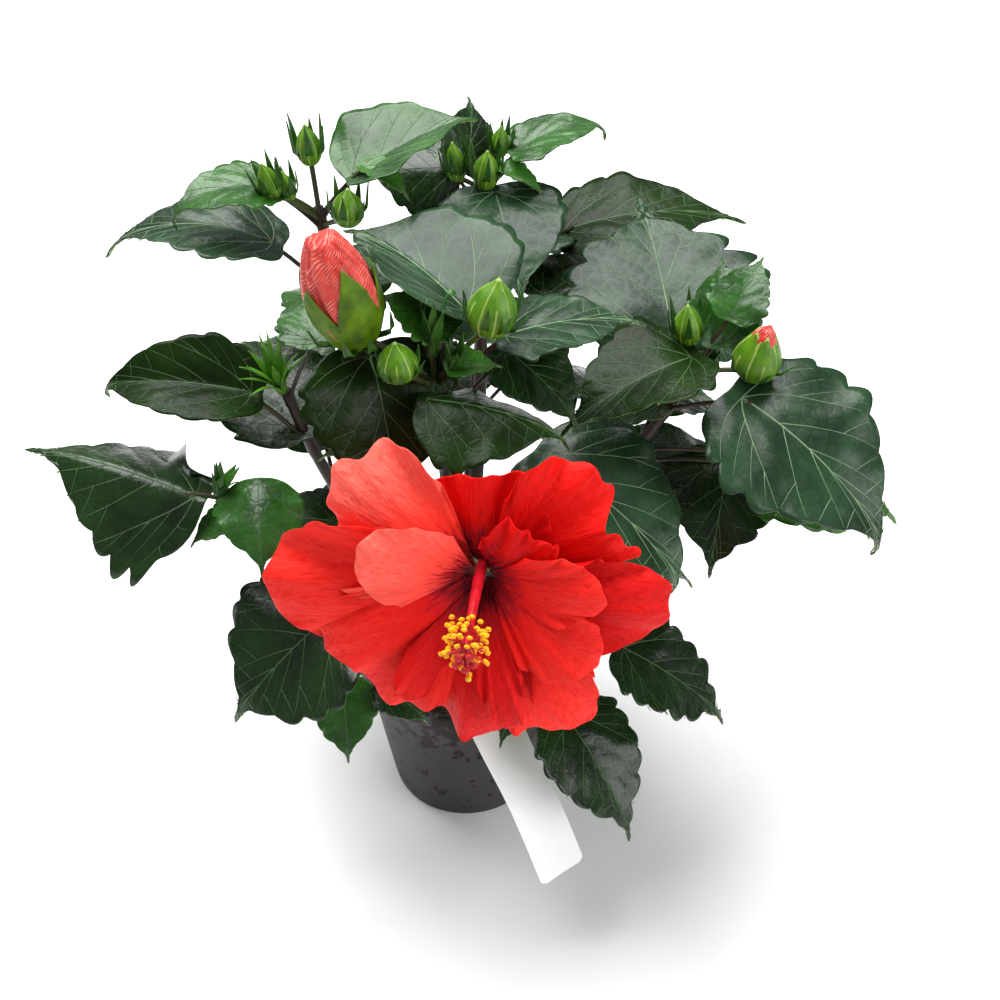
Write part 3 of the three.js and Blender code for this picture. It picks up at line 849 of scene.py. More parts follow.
@dataclass
class BladeShape:
    """The outline, veins and pillowing that blades share, in shares of length and of greatest half width.

    The pillowing is worked out for a blade of the nominal size, in millimetres.
    """

    number: int = 0
    rows: int = 64
    columns: int = 21
    lobe: float = 0.1
    shoulder: float = 0.6
    thick: float = 0.5
    teeth: float = 6.4
    toothed_from: float = 0.1
    toothed_to: float = 0.93
    tooth_depth: float = 0.18
    tooth_lean: float = 1.5
    drawn_out: float = 0.62
    drawn_from: float = 0.62
    drawn_to: float = 0.9
    vein_foot: tuple[float, float] = (0.09, 0.0)
    nominal_length: float = 88.0
    nominal_half: float = 32.0
    pillow: float = 0.95
    pillow_reach: float = 4.4
    quilt: float = 0.09
    quilt_size: float = 6.2
    quilt_seam: float = 1.6

    def __post_init__(self) -> None:
        """Work out once what every blade of this shape uses."""
        self.along = np.linspace(0.004, 0.996, self.rows)
        self.across = np.linspace(-1, 1, self.columns)
        self.veins = self.vein_lines()
        a, s = np.meshgrid(self.along, self.across, indexing="ij")
        self.grid = np.stack([a.ravel(), (s * self.outline(a)).ravel()], -1)
        self.grid_relief = self.relief(self.grid)

    def outline(self, along: Array) -> Array:
        """Give the half width, from 0 to 1: round base, widest at a third, drawn out to a drip tip."""
        whole = np.sin(math.pi * np.clip(along, 0, 1) ** self.shoulder)
        return np.maximum(whole * (1 - self.drawn_out * smooth(self.drawn_from, self.drawn_to, along)), 0.004)

    def tooth(self, along: Array, phase: float) -> Array:
        """Give the round teeth of the margin, 0 in a notch and 1 at a tooth's crest.

        Args:
            along: shares of the length.
            phase: a share of a tooth by which the row is shifted.

        Returns:
            One height for each share.
        """
        share = (along - self.toothed_from) / (self.toothed_to - self.toothed_from)
        step = share * self.teeth + phase
        saw = (step % 1.0) ** self.tooth_lean
        varied = 0.66 + 0.34 * np.sin(7.3 * np.floor(step) + 9 * phase)
        envelope = smooth(0, 0.1, share) * (1 - smooth(0.9, 1, share)) * (1 - 0.45 * np.clip(share, 0, 1))
        return np.sqrt(np.clip(np.sin(math.pi * saw), 0, 1)) * envelope * varied

    def vein_lines(self) -> list[tuple[Array, float, float]]:
        """Lay out the veins.

        Returns:
            Each vein's start, bend and end, as along and half width, and its width at its start and end.
        """
        rng = np.random.default_rng(SEED + self.number)
        base = self.vein_foot
        lines = [(np.array([base, (0.5, 0.0), (0.985, 0.0)]), *MIDRIB)]
        for side in (-1, 1):
            main = np.array([base, (0.2, 0.37 * side), (0.5, 0.8 * side)])
            low = np.array([base, (0.1, 0.45 * side), (0.23, 0.86 * side)])
            lines += [(main, *MAIN_VEIN), (low, *LOW_VEIN)]
            for start, end, out in SIDE_VEINS:
                start, end = start + rng.uniform(-0.025, 0.025), end + rng.uniform(-0.02, 0.02)
                rim = out * float(self.outline(np.array(end))) * side
                bend = (0.52 * start + 0.48 * end, 0.6 * rim)
                lines.append((np.array([(start, 0.0), bend, (end, rim)]), *SIDE_VEIN))
                fork = np.array([0.42 * start + 0.58 * end, 0.62 * rim])
                edge = end - 0.1
                tip = (edge, 0.9 * float(self.outline(np.array(edge))) * side)
                bend = (0.7 * fork[0] + 0.3 * edge, 0.5 * (fork[1] + tip[1]))
                lines.append((np.array([fork, bend, tip]), *FORK))
            for share, end, rim in MAIN_BRANCHES:
                foot = bezier(flat3(main), share)[0][:2]
                bend = (0.62 * foot[0] + 0.38 * end, 0.5 * (foot[1] + rim * side))
                lines.append((np.array([foot, bend, (end, rim * side)]), *MAIN_BRANCH))
            for share, end, rim in LOW_BRANCHES:
                foot = bezier(flat3(low), share)[0][:2]
                rim *= float(self.outline(np.array(end))) * side
                bend = (0.5 * (foot[0] + end) - 0.01, 0.55 * (foot[1] + rim))
                lines.append((np.array([foot, bend, (end, rim)]), *LOW_BRANCH))
        return lines

    def gaps(self, spots: Array, marks: Array, nearest: int) -> Array:
        """Give the distances in millimetres from each spot to the nearest few of a set of marks.

        Args:
            spots: where to measure from.
            marks: where to measure to.
            nearest: how many marks count.

        Returns:
            A row of distances for each spot, in no order.
        """
        scale = np.array([self.nominal_length, self.nominal_half])
        found = []
        for part in np.array_split(spots, max(1, len(spots) // 400)):
            far = np.linalg.norm((part[:, None] - marks[None]) * scale, axis=-1)
            found.append(np.partition(far, nearest - 1, axis=1)[:, :nearest])
        return np.concatenate(found)

    def relief(self, spots: Array) -> Array:
        """Give how far the blade pillows up between its veins, and sinks along them, at given spots.

        Args:
            spots: shares of length and of greatest half width.

        Returns:
            One height in millimetres for each spot.
        """
        run = np.linspace(0, 1, 30)
        marks = np.concatenate([bezier(flat3(line), run)[:, :2] for line, _, _ in self.veins])
        gap = self.gaps(spots, marks, 1)[:, 0]
        rng = np.random.default_rng(SEED * 3 + self.number)
        step = [self.quilt_size / self.nominal_length, self.quilt_size / self.nominal_half]
        a, h = np.meshgrid(np.arange(-0.05, 1.05, step[0]), np.arange(-1.1, 1.1, step[1]), indexing="ij")
        seeds = np.stack([a.ravel(), h.ravel()], -1) + rng.uniform(-0.45, 0.45, (a.size, 2)) * step
        near = np.sort(self.gaps(spots, seeds, 2), axis=1)
        cell = 1 - np.exp(-((near[:, 1] - near[:, 0]) / self.quilt_seam))
        return self.pillow * (0.45 - np.exp(-((gap / self.pillow_reach) ** 2))) + self.quilt * cell

    def relief_on_grid(self, spots: Array) -> Array:
        """Give the pillowing at given spots as the grid's flat faces have it.

        Args:
            spots: shares of length and of greatest half width.

        Returns:
            One height in millimetres for each spot.
        """
        values = self.grid_relief.reshape(self.rows, self.columns)
        row = np.clip((spots[:, 0] - self.along[0]) / (self.along[1] - self.along[0]), 0, self.rows - 1.001)
        side = np.clip(spots[:, 1] / self.outline(spots[:, 0]), -1, 1)
        column = np.clip((side + 1) / 2 * (self.columns - 1), 0, self.columns - 1.001)
        i, j = row.astype(int), column.astype(int)
        u, v = row - i, column - j
        first = values[i, j] * (1 - v) + values[i, j + 1] * v
        return first * (1 - u) + (values[i + 1, j] * (1 - v) + values[i + 1, j + 1] * v) * u


def flat3(line: Array) -> Array:
    """Give a flat line's points a third coordinate of nought."""
    return np.concatenate([line, np.zeros((len(line), 1))], 1)


@dataclass
class Blade:
    """A leaf's blade in its place: bent along its midrib, folded, cupped, waved, and half of it rolled up.

    Most leaves roll up neither half.
    """

    leaf: Leaf
    base: Array
    shape: BladeShape
    number: int
    midrib_points: int = 161
    curl_from: float = 0.74
    fold_round: float = 2.0
    wave_depth: float = 0.05
    vein_sunk: float = 0.15

    def __post_init__(self) -> None:
        """Sample the midrib and set the blade's directions."""
        leaf, shape = self.leaf, self.shape
        self.length = (1 + shape.lobe) * leaf.size
        self.half = 0.5 * leaf.size * leaf.wide
        self.phase = (self.number * GOLDEN) % 1
        self.samples = np.linspace(0, 1, self.midrib_points)
        turn = math.radians(leaf.arch)
        tip = np.clip((self.samples - self.curl_from) / (1 - self.curl_from), 0, 1)
        extra = math.radians(leaf.curl) * tip**1.5
        self.slope = -turn * (self.samples - 0.5) - extra
        step = self.length * (turn / 2) / math.sin(turn / 2) / (len(self.samples) - 1)
        middle = (self.slope[1:] + self.slope[:-1]) / 2
        self.x = np.concatenate([[0], np.cumsum(np.cos(middle)) * step])
        self.z = np.concatenate([[0], np.cumsum(np.sin(middle)) * step])
        forward = aim(leaf.heading, leaf.pitch)
        left = turned(aim(leaf.heading + 90, 0), forward, leaf.roll)
        self.axes = np.stack([forward, left, np.cross(forward, left)])
        self.start = self.base - forward * shape.lobe * leaf.size

    def place(self, along: Array, half: Array, lift: Array) -> Array:
        """Give points of the blade in the plant's frame.

        Args:
            along: shares of its length.
            half: shares of its greatest half width, signed.
            lift: heights over its middle surface.

        Returns:
            One point for each.
        """
        leaf, side = self.leaf, half * self.half
        notch = 0.5 * self.shape.lobe * leaf.size * np.exp(-along / 0.07) * np.exp(-((half / 0.35) ** 2))
        reach = np.clip(along + notch / self.length, 0, 1)
        soft = np.sqrt(side**2 + self.fold_round**2) - self.fold_round
        wave = sum(
            high * np.sin(math.tau * (count * along + times * self.phase) + np.sign(half) * shift)
            for high, count, times, shift in BLADE_WAVES
        )
        rise = (
            math.sin(math.radians(leaf.fold)) * soft
            - leaf.cup * half**2 * (leaf.size / USUAL_BLADE)
            + self.wave_depth * leaf.wavy * self.half * wave * half**2
            + lift
        )
        side = side * math.cos(math.radians(leaf.fold))
        turned_share = half * np.sign(leaf.turned) * (1 - smooth(0.5, 1, along / leaf.turned_to))
        roll_up = np.maximum(math.radians(abs(leaf.turned)) * turned_share, 1e-4)
        side, rise = side * np.sin(roll_up) / roll_up, rise + np.abs(side) * (1 - np.cos(roll_up)) / roll_up
        x, z = np.interp(reach, self.samples, self.x), np.interp(reach, self.samples, self.z)
        slope = np.interp(reach, self.samples, self.slope)
        bent = np.stack([x - rise * np.sin(slope), side, z + rise * np.cos(slope)], -1)
        return self.start + bent @ self.axes

    def add_to(self, work: Patchwork) -> None:
        """Add the blade, its underside and its veins to a mesh.

        Args:
            work: the mesh it goes in.
        """
        shape, scale = self.shape, self.leaf.size / USUAL_BLADE
        along, half = shape.grid[:, 0], shape.grid[:, 1].copy()
        edge = np.abs(half) / shape.outline(along)
        saw = np.where(half > 0, shape.tooth(along, self.phase), shape.tooth(along, (self.phase * 3.1) % 1))
        depth = shape.tooth_depth * self.leaf.lobed / shape.outline(along)
        toothed = smooth(0.05, 0.2, along) * (1 - smooth(0.88, 0.95, along))
        half *= 1 + depth * (saw - 0.55) * edge**5 * toothed
        relief = shape.grid_relief * scale * (1 - 0.6 * edge**6)
        rows, columns = shape.rows, shape.columns
        lifts = (relief + s * shape.thick / 2 for s in (1, -1))
        faces = [self.place(along, half, lift).reshape(rows, columns, 3) for lift in lifts]
        column = np.tile(np.arange(2 * columns), rows - 1)
        upper = (column < columns - 1) | (column == 2 * columns - 1)
        walls = np.where(upper, self.leaf.tone.value, Tone.UNDER.value)
        work.add(sheet(*faces), np.concatenate([walls, np.full(2 * columns - 2, self.leaf.tone.value)]))
        self.add_veins(work, scale)

    def add_veins(self, work: Patchwork, scale: float) -> None:
        """Add the veins as fine ribs, low on the upper face and proud on the underside.

        Args:
            work: the mesh it goes in.
            scale: the blade's length against the usual one.
        """
        upper = Tone.GREY_VEIN if self.leaf.tone is Tone.GREY else Tone.VEIN
        for line, wide, narrow in self.shape.veins:
            share = np.linspace(0, 1, 13 if wide > FINE_VEIN else 7)
            spots = bezier(flat3(line), share)[:, :2]
            flow = np.gradient(spots * [self.length, self.half], axis=0)
            across = unit(np.stack([-flow[:, 1], flow[:, 0]], -1)) / [self.length, self.half]
            width = (wide + (narrow - wide) * share) * scale**0.6 / 2
            relief = self.shape.relief_on_grid(spots) * scale
            for face, tone, proud, spread in ((1, upper, 0.14, 1.0), (-1, Tone.UNDER_VEIN, 0.4, 1.4)):
                if face < 0 and wide < FINE_VEIN:
                    continue
                rim = face * (self.shape.thick / 2 - self.vein_sunk)
                crest = face * (self.shape.thick / 2 + 0.1 + proud * wide * scale)
                rows, top = [], 0.45 * spread
                for k, height in ((-spread, rim), (-top, crest), (top, crest), (spread, rim)):
                    spot = spots + across * (k * width)[:, None]
                    rows.append(self.place(spot[:, 0], spot[:, 1], relief + height))
                work.add(np.stack(rows, 1), tone.value)


# ---------- Buds ----------


class BudKind(Enum):
    """How far a bud has come, and what shows of it."""

    PLUMP = "plump"
    BRACTED = "bracted"
    TUFT = "tuft"
    SHOOT = "shoot"
    TIPPED = "tipped"
    FURLED = "furled"


@dataclass(frozen=True)
class Bud:
    """One bud: where its stalk leaves the shoot, where the bud starts from there, and its pose."""

    at: float
    off: Place
    heading: float
    pitch: float
    size: float
    wide: float
    kind: BudKind = BudKind.BRACTED
    spin: float = 0


class BudPart(Enum):
    """Which finish a bud's face takes."""

    CALYX = 0
    RIB = 1
    BRACT = 2
    PETAL = 3
    SEPAL = 4
    SHOOT = 5


@dataclass(frozen=True)
class BractRing:
    """The bracts round a bud: how many, their length against the bud's, their width, and how they lean out.

    The tips lean out by `lean` millimetres and by the share `splay` of the bud's width.
    """

    count: int
    reach: float
    width: float
    lean: float = 0
    splay: float = 0
    part: BudPart = BudPart.BRACT


BRACTS = {
    BudKind.PLUMP: BractRing(7, 0.72, 2.6, 3),
    BudKind.BRACTED: BractRing(8, 1.1, 2.6, 2),
    BudKind.TUFT: BractRing(9, 1.15, 4.2, splay=0.3),
    BudKind.SHOOT: BractRing(14, 1, 3, splay=0.5, part=BudPart.SHOOT),
    BudKind.TIPPED: BractRing(7, 0.6, 1.6, 4.5),
    BudKind.FURLED: BractRing(7, 0.3, 2.6, 2.2),
}

BUD_FINISHES = {
    # Green sepals: thin, satin, a little downy, paler on the ribs where they meet.
    BudPart.CALYX: Finish("bud sepal, ridged", "#5c8812", "#42700a", 5, 0.9, 0.1, (0.34, 0.46)),
    BudPart.RIB: Finish("bud rib, pale", "#9cb45a", "#86a04a", 5, 0.9, 0.06, (0.4, 0.5)),
    # Bracts: darker and leafier than the sepals, so they stand out against them.
    BudPart.BRACT: Finish("bud bract", "#34661c", "#224812", 6, 1.0, 0.08, (0.34, 0.46)),
    # Furled petals: crumpled and satin, each crease with a painted highlight along its crest.
    BudPart.PETAL: FurledFinish("furled petal", "#d83c30", "#bc2018", 6, 0.8, 0.25, (0.42, 0.55), sheen=0.1),
    # Opened sepals: yellower green, with a weak sheen.
    BudPart.SEPAL: Finish("opened sepal", "#5c8204", "#3a5804", 7, 1.0, 0.2, (0.4, 0.5), specular=0.25),
    # Bracts of a young shoot: the brightest green of the plant.
    BudPart.SHOOT: Finish("young bract", "#5f9a2a", "#44781c", 6, 1.0, 0.08, (0.34, 0.46)),
}


# The side view of a bud's body is part of a sine's hump: where it starts and how much of the hump it takes,
# then a power that moves its widest place down and one that blunts it.
FURLED_GIRTH = (0.06, 0.84, 0.84, 0.7)
TIPPED_GIRTH = (0.08, 0.76, 0.72, 0.8)
CLOSED_GIRTH = (0.08, 0.91, 0.72, 0.8)


@dataclass
class BudForm:
    """A bud in its place, with its body, its sepals and the ring of bracts below."""

    bud: Bud
    base: Array
    number: int
    thick: float = 0.45
    calyx_grid: tuple[int, int] = (26, 80)
    furled_grid: tuple[int, int] = (64, 120)
    sepal_grid: tuple[int, int] = (22, 13)
    bract_grid: tuple[int, int] = (14, 5)
    seam_width: float = 0.07
    parted: float = 0.12
    crumple_depth: float = 0.022
    sepal_reach: tuple[float, float] = (0.72, 0.84)
    sepal_spread: float = 0.84
    tuft_girth: float = 1.2
    drawn_in: float = 0.3

    def __post_init__(self) -> None:
        """Set the bud's directions."""
        self.axis = aim(self.bud.heading, self.bud.pitch)
        self.side = unit(np.cross(self.axis, np.array([0.3, 1.0, 0.2])))
        self.other = np.cross(self.axis, self.side)

    def turn(self, angle: Array, out: Array, up: Array) -> Array:
        """Give points from their angle round the bud, their distance out and their height.

        Args:
            angle: angles round the bud, in radians.
            out: distances from its axis.
            up: heights over its foot.

        Returns:
            One point for each.
        """
        angle, out, up = np.broadcast_arrays(angle, out, up)
        return (
            self.base
            + self.side * (np.cos(angle) * out)[..., None]
            + self.other * (np.sin(angle) * out)[..., None]
            + self.axis * up[..., None]
        )

    def girth(self, share: Array, blunt: bool = False) -> Array:
        """Give the body's radius at shares of its length: egg-shaped, or blunt where its petals show.

        Args:
            share: shares of the length.
            blunt: whether its petals show.

        Returns:
            One radius for each share.
        """
        share = np.clip(share, 0, 1)
        tipped = self.bud.kind is BudKind.TIPPED
        foot, span, lower, blunter = FURLED_GIRTH if blunt else TIPPED_GIRTH if tipped else CLOSED_GIRTH
        whole = 0.5 * self.bud.wide * np.sin(math.pi * (foot + span * share) ** lower) ** blunter
        return whole if blunt or tipped else whole * (1 - self.drawn_in * smooth(0.72, 1, share))

    def calyx(self, work: Patchwork, length: float) -> None:
        """Add the closed calyx: five sepals, each with a raised edge and a rib up its middle.

        Args:
            work: the mesh it goes in.
            length: its length.
        """
        rows, sides = self.calyx_grid
        share = np.linspace(0, 1, rows)[:, None]
        angle = angles_round(sides)[None, :]
        part = (angle * 5 / math.tau + 0.03 * share) % 1
        seam = np.exp(-((np.minimum(part, 1 - part) / self.seam_width) ** 2))
        rib = np.exp(-(((part - 0.5) / self.seam_width) ** 2))
        swell = 0.035 * np.sin(math.tau * part) ** 2
        out = self.girth(share) * (1 + 0.07 * seam + 0.035 * rib + swell)
        pale = (seam + 0.8 * rib > 0.75) | (share > 0.93)
        walls = np.where(pale[:-1], BudPart.RIB.value, BudPart.CALYX.value).ravel()
        ends = np.full(sides - 2, BudPart.RIB.value)
        tips = 0.0
        if self.bud.kind is BudKind.TIPPED:
            tips = smooth(0.72, 1, share) * (1 - np.abs(2 * part - 1)) ** 0.8
            out = out * (1 - self.parted * tips)
        up = (share + self.parted * tips) * length
        work.add(self.turn(angle, out, up), np.concatenate([walls, ends]))

    def furled(self, work: Patchwork, length: float, width: float = 1.0, start: float = 0.0) -> None:
        """Add the furled petals: wrapped round each other, crumpled into fine slanting creases.

        Args:
            work: the mesh it goes in.
            length: their length.
            width: their width against the bud's.
            start: how high they start.
        """
        rows, sides = self.furled_grid
        share = np.linspace(0, 1, rows)[:, None]
        angle = angles_round(sides)[None, :]
        wrap = (3 * angle / math.tau + 0.8 * share) % 1
        crumple = np.sin(12 * angle + 9 * share + 0.9 * np.sin(3 * angle + 4 * share))
        crumple += 0.6 * np.sin(19 * angle + 15 * share + 1.3 * np.sin(5 * share + 2 * angle))
        crumple += 0.5 * np.sin(5 * angle - 14 * share)
        edge = 0.09 * (wrap - 0.5) * (1 - smooth(0.94, 1, wrap))
        depth = self.crumple_depth * width * self.bud.wide / 2
        out = self.girth(share, True) * width * (1 + edge) + depth * crumple
        up = start + share * length + 0.5 * np.sin(3 * angle + 1) * smooth(0.8, 1, share)
        work.add(self.turn(angle, out, up), BudPart.PETAL.value)

    def sepal(self, work: Patchwork, angle: float, length: float, spread: float) -> None:
        """Add an opened sepal: broad at its foot, pointed, lying on the petals.

        Args:
            work: the mesh it goes in.
            angle: where round the bud it stands, in radians.
            length: its length.
            spread: the angle that half its foot covers, in radians.
        """
        rows, columns = self.sepal_grid
        share = np.linspace(0, 1, rows)[:, None]
        across = np.linspace(-1, 1, columns)[None, :]
        half = spread * (1 - share**2) + 0.012
        body = self.girth(share * length / self.bud.size, self.bud.kind is BudKind.FURLED)
        lift = 0.5 + 1.2 * smooth(0.6, 1, share) + 0.35 * np.exp(-((across / 0.12) ** 2)) * (1 - share)
        lift = lift + 0.25 * np.cos(9 * across) * (1 - share)
        turn, out = angle + across * half, body + lift
        faces = [self.turn(turn, out + s * self.thick / 2, share * length) for s in (1, -1)]
        work.add(sheet(*faces), BudPart.SEPAL.value)

    def bract(
        self, work: Patchwork, angle: float, length: float, width: float, lean: float, part: BudPart
    ) -> None:
        """Add a narrow bract that stands round the bud.

        Args:
            work: the mesh it goes in.
            angle: where round the bud it stands, in radians.
            length: its length.
            width: its greatest width.
            lean: how far its tip leans out, inwards if negative.
            part: the finish it takes.
        """
        rows, columns = self.bract_grid
        share = np.linspace(0, 1, rows)[:, None]
        across = np.linspace(-1, 1, columns)[None, :]
        bare = self.bud.kind in (BudKind.TUFT, BudKind.SHOOT)
        widest = self.tuft_girth if bare else 0.5 * self.bud.wide
        out = 1.6 + (widest - 0.8) * smooth(0, 0.42, share) + lean * share**2
        half = 0.5 * width * np.maximum(np.sin(math.pi * (0.14 + 0.85 * share) ** 0.8), 0.04)
        side = across * half / np.maximum(out, 1.5)
        fold = 0.35 * half * across**2
        up = length * share * (1 - 0.1 * share * min(abs(lean) / 6, 1))
        faces = [self.turn(angle + side, out + fold + s * self.thick / 2, up) for s in (1, -1)]
        work.add(sheet(*faces), part.value)

    def add_to(self, work: Patchwork) -> None:
        """Add the bud to a mesh.

        Args:
            work: the mesh it goes in.
        """
        bud, spin = self.bud, math.radians(self.bud.spin)
        if bud.kind is BudKind.FURLED:
            self.furled(work, bud.size)
            for k in range(5):
                length = bud.size * self.sepal_reach[k % 2]
                self.sepal(work, spin + math.tau * k / 5, length, self.sepal_spread)
        elif bud.kind is BudKind.TIPPED:
            self.calyx(work, bud.size * 0.86)
            self.furled(work, bud.size * 0.62, 0.62, bud.size * 0.4)
        elif bud.kind in (BudKind.PLUMP, BudKind.BRACTED):
            self.calyx(work, bud.size)
        ring = BRACTS[bud.kind]
        for k in range(ring.count):
            angle = spin + math.tau * (k + 0.5) / ring.count + 0.25 * math.sin(5.0 * k + self.number)
            long = ring.reach * bud.size * (0.78 + 0.34 * ((k * GOLDEN + 0.37 * self.number) % 1))
            tilt = (ring.lean + ring.splay * bud.wide) * (0.4 + 1.1 * ((k * GOLDEN * 2 + 0.2) % 1))
            self.bract(work, angle, long, ring.width * (0.85 + 0.012 * bud.size), tilt, ring.part)


# ---------- Shoots ----------


@dataclass(frozen=True)
class Rule:
    """Leaves at even steps, their headings fanned round one; those left out would touch a neighbour."""

    count: int
    toward: float
    fan: float
    up_to: float = 0.98
    left_out: tuple[int, ...] = ()
    rise: float = 25
    stalk: float = 24
    pitch: float = -22
    size: float = 66
    bare_above: float = 0.05

    def leaves(self, bare: float) -> list[Leaf]:
        """Work the leaves out.

        Args:
            bare: the share of the shoot that carries none.

        Returns:
            The leaves, from the lowest up.
        """
        made = []
        for i in range(self.count):
            if i in self.left_out:
                continue
            share = (i + 0.5) / self.count
            heading = self.toward + self.fan * (2 * ((i * GOLDEN) % 1) - 1)
            off = aim(heading, self.rise) * self.stalk * (1.1 - 0.4 * share)
            at = bare + self.bare_above + (self.up_to - bare - self.bare_above) * share
            pitch, size = self.pitch * (1.2 - 0.6 * share), self.size * (1.1 - 0.3 * share)
            tone = (Tone.DEEP, Tone.MID, Tone.GREY)[i % 3]
            made.append(Leaf(at, tuple(off), heading, pitch, 0, size, arch=40, tone=tone))
        return made


@dataclass(frozen=True)
class StemSize:
    """The radii of a shoot at its foot, where its leaves start, and at its tip."""

    foot: float
    bare: float
    tip: float


MAIN = StemSize(3.7, 3.1, 2.1)
SKIRT = StemSize(2.8, 2.4, 1.7)


@dataclass(frozen=True)
class Shoot:
    """A shoot: a bough up to `bare`, and leaves and buds from there to its tip."""

    name: str
    curve: tuple[Place, ...]
    bare: float
    stem: StemSize
    leaves: tuple[Leaf, ...] = ()
    buds: tuple[Bud, ...] = ()
    rule: Rule | None = None

    def every_leaf(self) -> list[Leaf]:
        """Give the leaves placed one by one and those by rule."""
        return [*self.leaves, *(self.rule.leaves(self.bare) if self.rule else [])]

    def radius(self, at: Array) -> Array:
        """Give the stem's radius at shares of its length."""
        return np.interp(at, [0, self.bare, 1], [self.stem.foot, self.stem.bare, self.stem.tip])


